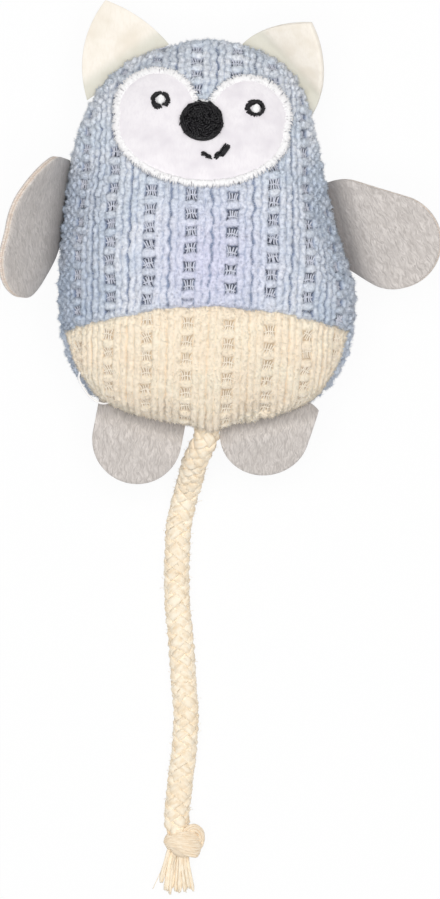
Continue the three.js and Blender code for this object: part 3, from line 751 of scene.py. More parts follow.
def formPoint(angle, y):
    # rounded section: sideways by the cosine and up by the sine, each to a power below one
    width, lean, front, back = sectionAt(y)
    power = 2 / bodyShape["sectionPower"]
    across = signedPower(np.cos(angle), power)
    rise = signedPower(np.sin(angle), power)
    z = bodyShape["seamHeight"] + np.where(rise > 0, front, back) * rise
    return np.stack(np.broadcast_arrays(lean + width * across, y, z), -1)


def angleAt(x, y):
    # angle of the front skin above a place in plan
    width, lean, _, _ = sectionAt(y)
    across = np.clip((x - lean) / np.maximum(width, 1e-6), -1, 1)
    return np.arccos(signedPower(across, bodyShape["sectionPower"] / 2))


faceShape = {
    "middle": (-1.4, 29.8),
    "tilt": -4.8,
    "lobeSpread": 11.3,
    "lobeRise": 3.8,
    "lobeRadius": 10.1,
    "cheek": 21.2,
    "chin": 14.3,
    "brow": 6.6,
    "border": 1.5,
}


def maskReach(angle):
    # distance to the outline in a direction: the furthest of the cheeks' oval and two round eye lobes
    shape = faceShape
    x = np.cos(angle)
    y = np.sin(angle)
    reach = 1 / np.hypot(x / shape["cheek"], y / np.where(y > 0, shape["brow"], shape["chin"]))
    for spread in (-shape["lobeSpread"], shape["lobeSpread"]):
        towards = x * spread + y * shape["lobeRise"]
        left = towards**2 - spread**2 - shape["lobeRise"] ** 2 + shape["lobeRadius"] ** 2
        far = towards + np.sqrt(np.maximum(left, 0))
        reach = np.where(left > 0, np.maximum(reach, far), reach)
    return reach


def underMask(x, y, grow=-0.3):
    # whether a place in plan lies under the face patch
    turn = math.radians(faceShape["tilt"])
    dx = x - faceShape["middle"][0]
    dy = y - faceShape["middle"][1]
    ownX = dx * math.cos(turn) + dy * math.sin(turn)
    ownY = dy * math.cos(turn) - dx * math.sin(turn)
    return np.hypot(ownX, ownY) < maskReach(np.arctan2(ownY, ownX)) + grow


stuffing = {
    "stations": 72,
    "angles": 96,
    "frames": 20,
    "pressure": 4.0,
    "smaller": 0.035,  # the cover starts this share thinner than the form
    "slack": 0.03,  # spare cloth between the seams
    "most": 1.2,  # mm that a point may end off the form
    "seamHold": 0.7,  # mm beside the belly seam, round the face patch and above the floor that are held
    "patchHold": 0.5,
    "floorHold": 0.6,
    "overlap": 12,  # columns that are repeated, for angles past a full turn
}
stuffRows = np.sin(np.linspace(-0.98, 0.98, stuffing["stations"]) * math.pi / 2)
stuffRows = np.where(stuffRows > 0, stuffRows * bodyShape["head"], stuffRows * bodyShape["hip"])


def bellyLine(x):
    return bodyShape["bellyTop"] - bodyShape["bellyDrop"] * (x / bodyShape["halfWidth"]) ** 2


def gridNormals(points):
    return unit(np.cross(np.gradient(points, axis=1), np.gradient(points, axis=0)))


def heldPlaces(form):
    # the round seam, the belly seam, the face patch and the part of the back that it rests on
    half = form.shape[1] // 2
    held = np.zeros(form.shape[:2], bool)
    held[:, [0, half]] = True
    held[[0, -1]] = True
    front = form[:, 1:half]
    held[:, 1:half] |= np.abs(front[..., 1] - bellyLine(front[..., 0])) < stuffing["seamHold"]
    held[:, 1:half] |= underMask(front[..., 0], front[..., 1], stuffing["patchHold"])
    held[:, half + 1:] |= form[:, half + 1:, 2] < stuffing["floorHold"]
    return held


def stuffBody():
    # the sewn cover as cloth: starts a little thin, held at its seams, filled by pressure; gives how far it
    # ends off the form, along the form's normals
    rows = stuffing["stations"]
    columns = stuffing["angles"]
    angles = np.linspace(0, tau, columns, endpoint=False)[None, :]
    form = formPoint(angles, stuffRows[:, None])
    held = heldPlaces(form)
    thin = stuffing["smaller"] * np.abs(np.sin(angles)) * ~held
    start = form.copy()
    start[..., 2] -= thin * (form[..., 2] - bodyShape["seamHeight"])
    poles = [np.arange(columns)[None, :], (rows - 1) * columns + np.arange(columns)[::-1][None, :]]
    sides = gridFaces(rows, columns, ring=True)[:, ::-1]
    cover = makePiece("cover", start.reshape(-1, 3), [sides] + poles, blueKnit)
    group = cover.vertex_groups.new(name="seams")
    group.add(np.flatnonzero(held).tolist(), 1.0, "REPLACE")
    cloth = cover.modifiers.new("stuffing", "CLOTH")
    cloth.settings.quality = 6
    cloth.settings.use_pressure = True
    cloth.settings.uniform_pressure_force = stuffing["pressure"]
    cloth.settings.shrink_min = -stuffing["slack"]
    cloth.settings.vertex_group_mass = "seams"
    cloth.settings.effector_weights.gravity = 0
    cloth.point_cache.frame_start = 1
    cloth.point_cache.frame_end = stuffing["frames"]
    scene = bpy.context.scene
    for step in range(1, stuffing["frames"] + 1):
        scene.frame_set(step)
    filled = cover.evaluated_get(bpy.context.evaluated_depsgraph_get())
    moved = np.zeros(rows * columns * 3, np.float32)
    filled.data.vertices.foreach_get("co", moved)
    scene.frame_set(1)
    bpy.data.objects.remove(cover)
    normals = -gridNormals(form)
    off = np.sum((moved.reshape(form.shape) / mm - form) * normals, axis=-1)
    print("stuffing ends off the form by", np.round([off.min(), off.mean(), off.max()], 2), "mm")
    off = np.clip(off - np.mean(off[~held]), -stuffing["most"], stuffing["most"]) * ~held
    off = off * ease(np.abs(np.sin(angles)), 0.05, 0.75)
    for _ in range(3):
        off = (np.roll(off, 1, 1) + 2 * off + np.roll(off, -1, 1)) / 4
        off[1:-1] = (off[:-2] + 2 * off[1:-1] + off[2:]) / 4
    shift = off[..., None] * normals
    return np.concatenate([shift, shift[:, :stuffing["overlap"]]], axis=1)


coverShift = stuffBody()


def skinPoint(angle, y):
    # the form with the stuffed cover's shift
    angle, y = np.broadcast_arrays(angle, y)
    row = np.interp(y, stuffRows, np.arange(stuffing["stations"]))
    return formPoint(angle, y) + lookUp(coverShift, row, angle / tau * stuffing["angles"])


def seamAngle(y, side):
    # the back panel comes up round the lower corners
    rise = bodyShape["seamRiseLeft"] if side < 0 else bodyShape["seamRiseRight"]
    return rise * ease(-y, 12, 24) * (1 - 0.95 * ease(-y, 33, 38.5))


arcStations = np.linspace(-bodyShape["hip"], bodyShape["head"], 200)
arcAngles = np.linspace(0, tau + 0.6, 600)


def sumArcs():
    # table of the distance round each section, added up in small steps
    points = formPoint(arcAngles[None, :], arcStations[:, None])
    steps = np.linalg.norm(np.diff(points[..., [0, 2]], axis=1), axis=-1)
    return np.concatenate([np.zeros((len(arcStations), 1)), np.cumsum(steps, axis=1)], axis=1)


arcTable = sumArcs()


def arcAt(angle, y):
    row = (y - arcStations[0]) / (arcStations[1] - arcStations[0])
    column = angle / (arcAngles[1] - arcAngles[0])
    return lookUp(arcTable, *np.broadcast_arrays(row, column))


def alongAt(y, angle):
    # distance along the middle of the front or back
    stations = np.linspace(-bodyShape["hip"], bodyShape["head"], 800)
    middle = formPoint(np.full(800, angle), stations)
    steps = np.linalg.norm(np.diff(middle, axis=0), axis=1)
    total = np.concatenate([[0], np.cumsum(steps)])
    total = total - np.interp(0, stations, total)
    return np.interp(y, stations, total)


knitShape = {
    "repeat": 10.25,  # from ladder to ladder
    "firstLadder": -4.1,
    "lean": 0.034,
    "ladderHalf": 1.4,
    "pinch": 0.3,  # how far the wales bow into an opening
    "waleHeight": 0.8,
    "puff": 2.3,  # length of one tuft along a wale
    "puffShare": 0.42,
    "sidePuff": 0.3,
    "zigzag": 0.2,
    "rung": 4.6,  # from bar to bar in a ladder
    "stagger": 0.21,
    "opening": 0.6,
    "pairing": 0.3,  # level of the shallow groove between the two wales of a pair
    "drift": 0.22,  # how far a wale strays, slowly and in short waves, and a stitch slips along it
    "ripple": 0.24,
    "slip": 0.3,
    "grooveHalf": 0.42,  # the deep groove midway between ladders
    "grooveDepth": 0.4,
    "fuzz": 0.17,  # unevenness of the pile's face, coarse and fine
    "fineFuzz": 0.15,
    "sink": 0.5,  # the pile's mean level lies this far under the form's face
    "roll": 0.9,  # width of the edge that rolls into a seam
    "gather": 1.2,  # how much higher the relief stands at the gathers by the tail, and at the sides
    "sideGather": 0.4,
    "sideDrop": 0.75,  # how far the sides, and the back's tucked end, lie under the form
    "backTuck": 0.8,
    "deepest": 2.1,
    "lining": 2.2,  # the lining's depth, its grid's coarseness and its least height
    "liningStep": 8,
    "liningLow": 1.5,
    "tailAt": 0.8,  # where the cloth is drawn out round the tail, how widely and how far
    "tailHalf": 3.8,
    "tailPull": 2.0,
    # each yarn's relief, unevenness, how open its ladders are, how high their bars, how deep their mesh and
    # the floor below it, and how thick its threads
    "blue": {
        "softness": 1.0, "wobble": 1.0, "openness": 1.0, "bar": 1.25, "meshDepth": 0.55, "floor": 1.1,
        "thread": 0.42, "pile": blueKnit, "base": meshBlue, "slot": "blue_chenille",
    },
    "cream": {
        "softness": 0.68, "wobble": 0.5, "openness": 0.5, "bar": 0.95, "meshDepth": 0.2, "floor": 0.45,
        "thread": 0.34, "pile": creamKnit, "base": meshCream, "slot": "cream_chenille",
    },
}


def fabricAt(angle, y, middle):
    # across and along the cloth, in millimetres, from the middle of the front or the back
    _, lean, _, _ = sectionAt(y)
    turn = 1 if middle > math.pi else -1
    across = turn * (arcAt(angle, y) - arcAt(np.full_like(angle, middle), y)) + lean - knitShape["lean"] * y
    return across, alongAt(y, middle)


def knitRelief(across, along, look, fill, side):
    # between ladders stand four tufted wales, the middle groove deepest; a ladder has fuzzy bars and
    # openings; the tufts part further towards the sides
    knit = knitShape
    wobble = look["wobble"]
    s = across - knit["firstLadder"] + wobble * knit["drift"] * softNoise(across / 6, along / 7, 3)
    s = s + wobble * knit["ripple"] * softNoise(across / 1.9, along / 1.7, 4)
    t = along + knit["slip"] * softNoise(across / 3, along / 4, 5)
    ladder = np.floor(s / knit["repeat"] + 0.5)
    off = s - ladder * knit["repeat"]
    half = knit["ladderHalf"]
    weight = ease(np.abs(off), half, half + 1.2)
    hand = np.sign(off)
    sway = np.sin(math.pi * t / knit["puff"] + 2.1 * ladder + 1.3 * hand)
    q = np.abs(off + wobble * knit["zigzag"] * weight * sway)
    wide = (knit["repeat"] / 2 - half) / 2
    step = np.clip((q - half) / wide, 0, 1.9999)
    wale = np.floor(step)
    u = step - wale
    code = ladder * 7.3 + wale * 3.1 + hand * 1.7
    stitch = t / knit["puff"] + 0.5 * wale + 0.25 * hand + 0.4 * softNoise(code, t / 5, 11)
    bead = np.abs(2 * (stitch - np.floor(stitch)) - 1) ** 2.4
    plump = 1 - wobble * (knit["puffShare"] + knit["sidePuff"] * side) * bead
    plump = plump * (1 + wobble * 0.25 * softNoise(code, t / 2.4, 6))
    height = np.maximum(1 - np.abs(2 * u - 1) ** 2.4, 0) ** 0.6 * plump
    height = np.maximum(height, knit["pairing"] * np.exp(-(((step - 1) / 0.3) ** 2)))
    broken = np.clip(0.55 + 0.9 * softNoise(ladder * 5.1, t / 1.8, 7), 0, 1.2)
    deep = np.exp(-(((q - knit["repeat"] / 2) / knit["grooveHalf"]) ** 2)) * broken
    # bars of the ladder, and the openings that the wales bow into
    phase = t / knit["rung"] + knit["stagger"] * ladder + 0.12 * softNoise(ladder * 9.7, t / 9, 8)
    rise = np.abs(phase - np.floor(phase) - 0.5) / 0.25
    bow = half - knit["pinch"] * ease(rise, 0.8, 2.0)
    inside = 1 - ease(np.abs(off), bow - 0.25, bow + 0.25)
    bar = look["bar"] * np.maximum(1 - rise**2.4 - (np.abs(off) / (half + 0.5)) ** 3, 0) ** 0.5
    bar = np.maximum(bar, np.maximum(0.75 * fill, 1 - look["openness"]))
    gap = inside * ease(rise + 0.4 * (off / half) ** 2, 0.95, 1.25) * (1 - fill)
    height = height * (1 - inside) + bar * inside
    fuzz = knit["fuzz"] * softNoise(across * 1.6, along * 1.5, 9)
    fuzz = wobble * (fuzz + knit["fineFuzz"] * softNoise(across * 3.1, along * 2.9, 10))
    relief = knit["waleHeight"] * height - knit["grooveDepth"] * deep * (1 - inside)
    relief = relief - knit["opening"] * look["openness"] * gap + fuzz
    tuft = np.clip(height - 0.55 * deep * (1 - inside) + fuzz, 0, 1)
    return relief * look["softness"] - knit["sink"], tuft, gap


def rimOf(rows, columns):
    # numbers of a grid's edge points, once round
    low = np.arange(columns - 1)
    right = np.arange(rows - 1) * columns + columns - 1
    top = (rows - 1) * columns + np.arange(columns - 1, 0, -1)
    left = np.arange(rows - 1, 0, -1) * columns
    return np.concatenate([low, right, top, left])


def lineGrid(outer, inner):
    # closes a grid with a coarser lining: a strip of triangles joins the fine rim and the coarse rim
    rows, columns = outer.shape[:2]
    fewRows, fewColumns = inner.shape[:2]
    start = rows * columns
    fine = rimOf(rows, columns)
    coarse = rimOf(fewRows, fewColumns) + start
    sides = [(columns - 1, fewColumns - 1), (rows - 1, fewRows - 1)] * 2
    offsets = np.cumsum([0] + [few for _, few in sides])
    match = np.concatenate([
        offset + np.floor(np.arange(many) * few / many + 0.5) for offset, (many, few) in zip(offsets, sides)
    ]).astype(int)
    nextFine = np.roll(fine, -1)
    nextMatch = np.append(match[1:], len(coarse))
    fans = np.stack([nextFine, fine, coarse[match % len(coarse)]], -1)
    jump = nextMatch > match
    steps = np.stack([nextFine, coarse[match % len(coarse)], coarse[nextMatch % len(coarse)]], -1)[jump]
    points = np.vstack([outer.reshape(-1, 3), inner.reshape(-1, 3)])
    lining = gridFaces(fewRows, fewColumns, start)[:, ::-1]
    return points, [np.concatenate([gridFaces(rows, columns), lining]), np.concatenate([fans, steps])]


def edgeDistance(points):
    # distance to the nearest edge of a grid, measured along its lines
    across = np.linalg.norm(np.diff(points, axis=1), axis=-1)
    along = np.linalg.norm(np.diff(points, axis=0), axis=-1)
    left = np.pad(np.cumsum(across, axis=1), ((0, 0), (1, 0)))
    low = np.pad(np.cumsum(along, axis=0), ((1, 0), (0, 0)))
    return np.minimum(left, left[:, -1:] - left), np.minimum(low, low[-1:] - low)


def bluntShare(v):
    # steps that gather towards 0, where the form closes bluntly
    tight = 0.1
    return (np.sqrt(v**2 + tight**2) - tight) / (math.sqrt(1 + tight**2) - tight)


def frontAngles(share, y):
    # left seam to right seam
    left = math.pi - seamAngle(y, -1)
    right = seamAngle(y, 1)
    return left + (right - left) * share


def bellySeam(share):
    # where the arched seam crosses each column, by repeated closing in; the tufts' ends leave it uneven
    y = np.full_like(share, bodyShape["bellyTop"])
    for _ in range(8):
        y = bellyLine(formPoint(frontAngles(share, y), y)[..., 0])
    return y + bodyShape["bellyWave"] * softNoise(share * 60, 0.5, 45)


def frontGrid(rows, columns):
    share = np.linspace(0, 1, columns)[None, :]
    v = np.linspace(0, 0.997, rows)[:, None]
    low = bellySeam(share)
    y = low + (bodyShape["head"] - low) * (1 - bluntShare(1 - v))
    return frontAngles(np.broadcast_to(share, y.shape), y), y


def bellyGrid(rows, columns):
    share = np.linspace(0, 1, columns)[None, :]
    v = np.linspace(0.004, 1, rows)[:, None]
    high = bellySeam(share)
    y = high - (high + bodyShape["hip"]) * (1 - bluntShare(v))
    return frontAngles(np.broadcast_to(share, y.shape), y), y


def backGrid(rows, columns):
    share = np.linspace(0, 1, columns)[None, :]
    v = np.linspace(-0.997, 0.997, rows)[:, None]
    headward = bodyShape["head"] * (1 - bluntShare(1 - v))
    hipward = -bodyShape["hip"] * (1 - bluntShare(1 + v))
    y = np.broadcast_to(np.where(v > 0, headward, hipward), (rows, columns))
    right = tau + seamAngle(y, 1)
    left = math.pi - seamAngle(y, -1)
    return right + (left - right) * share, y


def paintedShadeAndChestTintOf(skin):
    # painted shade low on the sides, most on the left, and the yarn's lavender tint in the middle of the
    # chest
    width, lean, _, _ = sectionAt(skin[..., 1])
    across = (skin[..., 0] - lean) / np.maximum(width, 1)
    low = 1 - ease(skin[..., 1], 14, 30)
    paintedFlankShade = low * np.where(across < 0, 0.55, 0.35) * ease(np.abs(across), 0.45, 0.95)
    isFront = skin[..., 2] > bodyShape["seamHeight"]
    chest = np.exp(-(((skin[..., 0] - 1) / 15) ** 2) - ((skin[..., 1] + 4) / 17) ** 2) * isFront
    return paintedFlankShade.ravel(), chest.ravel()


panelShape = {
    # grid over the form, rows and columns, the angle of its middle, its yarn, loose fibres and their seed
    "front": {
        "grid": frontGrid, "rows": 240, "columns": 384, "middle": math.pi / 2, "yarn": "blue",
        "fibres": 42000, "seed": 35,
    },
    "belly": {
        "grid": bellyGrid, "rows": 120, "columns": 384, "middle": math.pi / 2, "yarn": "cream",
        "fibres": 22000, "seed": 36,
    },
    "back": {
        "grid": backGrid, "rows": 280, "columns": 336, "middle": 3 * math.pi / 2, "yarn": "blue",
        "fibres": 34000, "seed": 37,
    },
}


def makePanel(name):
    # knit relief on the form, rolled under at its sewn edges, and a coarser lining inside
    plan = panelShape[name]
    knit = knitShape
    look = knit[plan["yarn"]]
    angle, y = plan["grid"](plan["rows"], plan["columns"])
    skin = skinPoint(angle, y)
    normals = gridNormals(skin)
    across, along = fabricAt(angle, y, plan["middle"])
    edge = np.minimum(*edgeDistance(skin))
    side = np.abs(np.cos(angle)) ** 3
    relief, tuft, gap = knitRelief(across, along, look, 1 - ease(edge, 1.2, 2.4), side)
    roll = ease(edge, 0, knit["roll"])
    # towards the tail the front is gathered and the back tucked under it, both drawn out round the rope
    hipward = ease(-y, 36, 42)
    isBack = plan["middle"] > math.pi
    gathered = 1 + knit["gather"] * hipward * (not isBack) + knit["sideGather"] * side
    lift = relief * gathered * roll - 0.6 * knit["sink"] * (1 - roll)
    lift = lift - knit["sideDrop"] * side - knit["backTuck"] * hipward * isBack
    lift = np.maximum(lift, -knit["deepest"])
    outer = skin + lift[..., None] * normals
    fromTail = (outer[..., 0] - knit["tailAt"]) / knit["tailHalf"]
    outer[..., 1] -= knit["tailPull"] * (np.exp(-(fromTail**2)) * ease(-y, 37, 42.8))
    outer[..., 2] = np.maximum(outer[..., 2], 0.05 + 0.3 * (1 - tuft))
    coarse = knit["liningStep"]
    few = skinPoint(*plan["grid"](plan["rows"] // coarse, plan["columns"] // coarse))
    inner = few - knit["lining"] * gridNormals(few)
    inner[..., 2] = np.maximum(inner[..., 2], knit["liningLow"])
    points, faces = lineGrid(outer, inner)
    rest = len(points) - outer.shape[0] * outer.shape[1]
    # painted shade low on the sides, and the chest's lavender tint
    paintedFlankShade, chest = paintedShadeAndChestTintOf(skin)
    marks = {
        "tuft": np.concatenate([(tuft * roll + 0.7 * (1 - roll)).ravel(), np.full(rest, 0.5)]),
        "gap": np.concatenate([(gap * roll).ravel(), np.zeros(rest)]),
        "paintedFlankShade": np.concatenate([paintedFlankShade, np.zeros(rest)]),
        "chest": np.concatenate([chest, np.zeros(rest)]),
    }
    panel = makePiece(f"knit_{name}", points, faces, look["pile"], marks)
    place(panel, "torso", look["slot"], f"{name}_panel")
    return {
        "skin": skin, "normals": normals, "across": across, "along": along, "edge": edge, "face": outer,
        "tuft": tuft, "gap": gap,
    }


cloths = {name: makePanel(name) for name in panelShape}
print("knit panels ready")


meshShape = {
    "threads": 4,
    "half": 1.15,
    "reach": 1.35,
    "pinch": 0.3,  # share by which the threads are drawn together
    "tie": 1.35,
    "steps": 9,
    "sides": 5,
    "fromEdge": 1.2,  # no opening nearer a seam
}


def openingsOf(cloth):
    # middles of the openings between the bars, well inside a panel, as grid point numbers
    knit = knitShape
    across = cloth["across"] - knit["firstLadder"]
    ladders = np.arange(np.floor(across.min() / knit["repeat"]), np.ceil(across.max() / knit["repeat"]) + 1)
    low = np.floor(cloth["along"].min() / knit["rung"]) - 2
    high = np.ceil(cloth["along"].max() / knit["rung"]) + 2
    found = []
    for ladder in ladders:
        for rung in np.arange(low, high):
            # the relief's bars stand at half phases, so an opening has a whole phase
            s = ladder * knit["repeat"]
            t = (rung - knit["stagger"] * ladder) * knit["rung"]
            miss = (across - s) ** 2 + (cloth["along"] - t) ** 2
            nearest = int(np.argmin(miss))
            if miss.ravel()[nearest] < 0.15 and cloth["edge"].ravel()[nearest] > meshShape["fromEdge"]:
                found.append(nearest)
    return np.array(found)


def makeMesh(name, cloth):
    # base threads that run up each opening, drawn together in its middle, and one that ties them across
    look = knitShape[panelShape[name]["yarn"]]
    steps = meshShape["steps"]
    sides = meshShape["sides"]
    spots = openingsOf(cloth)
    middle = cloth["skin"].reshape(-1, 3)[spots]
    normal = cloth["normals"].reshape(-1, 3)[spots]
    sideways = unit(np.gradient(cloth["skin"], axis=1).reshape(-1, 3)[spots])
    upward = np.cross(normal, sideways)
    random = np.random.default_rng(31)
    count = meshShape["threads"]
    t = np.linspace(-1, 1, steps)
    column = np.linspace(-1, 1, count)[None, :, None]
    drawn = 1 - meshShape["pinch"] * np.cos(t * math.pi / 2)
    jitter = random.normal(0, 0.05, (len(spots), count, 1))
    jitter = jitter + random.normal(0, 0.1, (len(spots), count, 1)) * t
    x = (column * drawn + jitter) * meshShape["half"]
    y = np.broadcast_to(t * meshShape["reach"], x.shape)
    # at the sides and the gathers the openings lie deeper, and the threads with them
    floor = np.sum((cloth["face"] - cloth["skin"]) * cloth["normals"], axis=-1).ravel()[spots]
    level = np.minimum(floor + look["floor"], 0)[:, None, None] - look["meshDepth"]
    z = level + 0.2 * np.abs(t) ** 3 + random.normal(0, 0.05, (len(spots), count, 1)) + 0 * x
    tie = np.broadcast_to(t * meshShape["tie"], (len(spots), 1, steps))
    x = np.concatenate([x, tie], axis=1)
    y = np.concatenate([y, random.normal(0, 0.15, (len(spots), 1, 1)) + 0.12 * np.cos(3 * tie)], axis=1)
    z = np.concatenate([z, 0.1 + level + 0 * tie], axis=1)
    axes = [axis[:, None, None, :] for axis in (middle, sideways, upward, normal)]
    paths = axes[0] + x[..., None] * axes[1] + y[..., None] * axes[2] + z[..., None] * axes[3]
    facing = np.broadcast_to(axes[3], paths.shape).reshape(-1, steps, 3)
    paths = paths.reshape(-1, steps, 3)
    verts, faces = sweepTubes(paths, look["thread"], look["thread"] * 0.7, sides, facing)
    verts[:, 2] = np.maximum(verts[:, 2], 0.05)
    piece = makePiece(f"mesh_{name}", verts, faces, look["base"], {"yarn": tubeMarks(paths, sides)})
    return place(piece, "torso", "white_thread")


for name, cloth in cloths.items():
    makeMesh(name, cloth)
print("base mesh ready")


fuzzShape = {"length": (0.45, 0.95), "base": 0.075, "sunk": 0.12, "spread": 0.6, "tipPale": 0.35}


def makeFuzz(name, cloth):
    # pointed fibres rooted in the pile at random, leaning out from its face every way; none in the openings
    plan = panelShape[name]
    look = knitShape[plan["yarn"]]
    count = plan["fibres"]
    random = np.random.default_rng(plan["seed"])
    skin = cloth["skin"]
    face = cloth["face"]
    normals = gridNormals(face)
    cells = np.linalg.norm(np.cross(np.gradient(face, axis=1), np.gradient(face, axis=0)), axis=-1)
    hidden = underMask(skin[..., 0], skin[..., 1]) & (skin[..., 2] > bodyShape["seamHeight"])
    crowd = 1 + 2 * (1 - ease(cloth["edge"], 0.2, 1.6))
    chance = cells * crowd * (1 - cloth["gap"]) * (0.25 + cloth["tuft"]) * ~hidden
    spots = random.choice(face.size // 3, count, p=chance.ravel() / chance.sum())
    root = face.reshape(-1, 3)[spots] + random.normal(0, 0.1, (count, 3))
    normal = normals.reshape(-1, 3)[spots]
    heading = unit(normal + random.normal(0, fuzzShape["spread"], (count, 3)))
    side = unit(np.cross(heading, random.normal(0, 1, (count, 3))))
    other = np.cross(heading, side)
    reach = random.uniform(*fuzzShape["length"], (count, 1))
    low = root - fuzzShape["sunk"] * heading
    turns = tau * np.arange(3) / 3
    ring = fuzzShape["base"] * (
        np.cos(turns)[None, :, None] * side[:, None] + np.sin(turns)[None, :, None] * other[:, None]
    )
    points = np.concatenate([low[:, None] + ring, (low + reach * heading)[:, None]], axis=1).reshape(-1, 3)
    points[:, 2] = np.maximum(points[:, 2], 0.02)
    one = np.array([[2, 1, 0], [0, 1, 3], [1, 2, 3], [2, 0, 3]])
    faces = (one[None] + 4 * np.arange(count)[:, None, None]).reshape(-1, 3)
    pale = np.repeat(cloth["tuft"].ravel()[spots], 4).reshape(-1, 4)
    pale[:, 3] = np.minimum(pale[:, 3] + fuzzShape["tipPale"], 1)
    # each fibre takes the painted side shade and the chest tint at its root
    paintedFlankShade, chest = (np.repeat(values[spots], 4) for values in paintedShadeAndChestTintOf(skin))
    marks = {"tuft": pale.ravel(), "gap": np.zeros(count * 4), "paintedFlankShade": paintedFlankShade, "chest": chest}
    return place(makePiece(f"fuzz_{name}", points, [faces], look["pile"], marks), "torso", look["slot"])


for name, cloth in cloths.items():
    makeFuzz(name, cloth)
print("fuzz ready")


# face: fleece patch with a ragged satin border, embroidered eyes, nose and mouth

def facePoint(x, y, lift):
    # place on the tilted face plane, dropped onto the body's front and lifted along its normal
    turn = math.radians(faceShape["tilt"])
    worldX = faceShape["middle"][0] + x * math.cos(turn) - y * math.sin(turn)
    worldY = faceShape["middle"][1] + x * math.sin(turn) + y * math.cos(turn)
    step = 0.05
    here = skinPoint(angleAt(worldX, worldY), worldY)
    right = skinPoint(angleAt(worldX + step, worldY), worldY)
    higher = skinPoint(angleAt(worldX, worldY + step), worldY + step)
    normal = unit(np.cross(right - here, higher - here))
    return here + np.asarray(lift)[..., None] * normal, normal


patchShape = {
    "columns": 220,
    "rings": 60,
    "underRings": 8,
    "inset": 0.2,  # the fleece ends this far inside the border's line
    "puff": 1.15,  # height of the fleece, and how it falls towards its rim
    "rimDrop": 0.45,
    "rimReach": 0.9,
    "under": 0.15,
}


def makeFacePatch():
    # fleece: rings out to the border over the top, then back under it
    shape = patchShape
    columns = shape["columns"]
    angle = np.linspace(0, tau, columns, endpoint=False)
    reach = maskReach(angle) - shape["inset"]
    top = np.linspace(0.02, 1, shape["rings"])
    under = np.linspace(1, 0.02, shape["underRings"])
    share = np.concatenate([top, under])[:, None]
    x = share * reach * np.cos(angle)
    y = share * reach * np.sin(angle)
    rim = reach * (1 - share)
    puff = shape["puff"] - shape["rimDrop"] * np.exp(-rim / shape["rimReach"])
    puff = puff + 0.05 * softNoise(x / 1.7, y / 1.7, 41) + 0.12 * softNoise(x / 5, y / 5, 42)
    isTop = (np.arange(len(share)) < len(top))[:, None]
    lift = np.where(isTop, puff, shape["under"])
    points, _ = facePoint(x, y, lift)
    rows = len(share)
    faces = gridFaces(rows, columns, ring=True)[:, ::-1]
    first = np.arange(columns)[None, :]
    last = (rows - 1) * columns + np.arange(columns)[::-1][None, :]
    patch = makePiece("face_patch_fleece", points.reshape(-1, 3), [faces, first, last], whiteFleece)
    return place(patch, "torso", "white_fleece", "face_patch")


def stitchPiece(name, starts, ends, heights, width, material, slotName, nodes, seed, steps=7, bow=0.0):
    # raised stitches from start to end on the face plane; each arches up between its two needle holes
    random = np.random.default_rng(seed)
    count = len(starts)
    t = np.linspace(0, 1, steps)[None, :]
    x = starts[:, :1] + (ends[:, :1] - starts[:, :1]) * t
    y = starts[:, 1:] + (ends[:, 1:] - starts[:, 1:]) * t
    across = unit(np.stack([-(ends - starts)[:, 1], (ends - starts)[:, 0]], -1))
    sway = bow * np.sin(math.pi * t) * random.uniform(-1, 1, (count, 1))
    x = x + sway * across[:, :1]
    y = y + sway * across[:, 1:]
    low, high = heights
    arch = np.maximum(1 - np.abs(2 * t - 1) ** 3, 0)
    lift = low + (high - low) * arch * random.uniform(0.75, 1.0, (count, 1))
    paths, normal = facePoint(x, y, lift)
    thick = width * random.uniform(0.85, 1.15, (count, 1)) * (0.6 + 0.4 * arch)
    verts, faces = sweepTubes(paths, thick, thick * 0.85, 6, normal)
    piece = makePiece(name, verts, faces, material, {"yarn": tubeMarks(paths, 6)})
    return place(piece, "torso", slotName, *nodes)


borderShape = {
    "stitches": 1500,
    "inner": (-0.2, 0.25),  # how far the two ends of a stitch are out of line
    "outer": (-0.2, 0.85),
    "slip": 0.1,
    "lean": 0.45,
    "heights": (0.8, 1.45),
    "thread": 0.26,
}


def makeBorder():
    # satin stitches set side by side, square to the patch's edge, their outer ends ragged
    shape = borderShape
    random = np.random.default_rng(51)
    count = shape["stitches"]
    angle = np.linspace(0, tau, 2400, endpoint=False)
    edge = maskReach(angle)[:, None] * np.stack([np.cos(angle), np.sin(angle)], -1)
    edge = evenOutline(edge, count)
    along = unit(np.roll(edge, -9, axis=0) - np.roll(edge, 9, axis=0))
    outward = np.stack([along[:, 1], -along[:, 0]], -1)
    inner = random.uniform(*shape["inner"], (count, 1)) - faceShape["border"]
    outer = random.uniform(*shape["outer"], (count, 1))
    starts = edge + inner * outward + random.normal(0, shape["slip"], (count, 1)) * along
    ends = edge + outer * outward + random.normal(0, shape["lean"], (count, 1)) * along
    return stitchPiece(
        "face_border_stitch", starts, ends, shape["heights"], shape["thread"], whiteThread, "white_thread",
        ["face_border"], 52, 5,
    )


eyeShape = {
    # middle of the ring and of its hole, the ring's open place and half its width, an extra stitch's place
    "left": {
        "middle": (-10.35, 5.9), "hole": (-10.35, 5.9), "gap": -1.35, "gapHalf": 0.22,
        "blob": (-1.15, -1.75), "seed": 61,
    },
    "right": {
        "middle": (12.5, 5.95), "hole": (12.8, 5.65), "gap": 0.0, "gapHalf": 0.0, "blob": None, "seed": 62,
    },
    "outer": (2.3, 2.05),
    "inner": (1.4, 1.2),
    "stitches": 72,
    "slant": 0.22,
    "blobStitches": 9,
    "blobHalf": (0.45, -0.1),
    "heights": (1.05, 1.9),
    "thread": 0.42,
    "dotRows": 8,
    "dotHalf": 0.95,
    "dotHeights": (1.1, 1.7),
    "dotThread": 0.4,
}


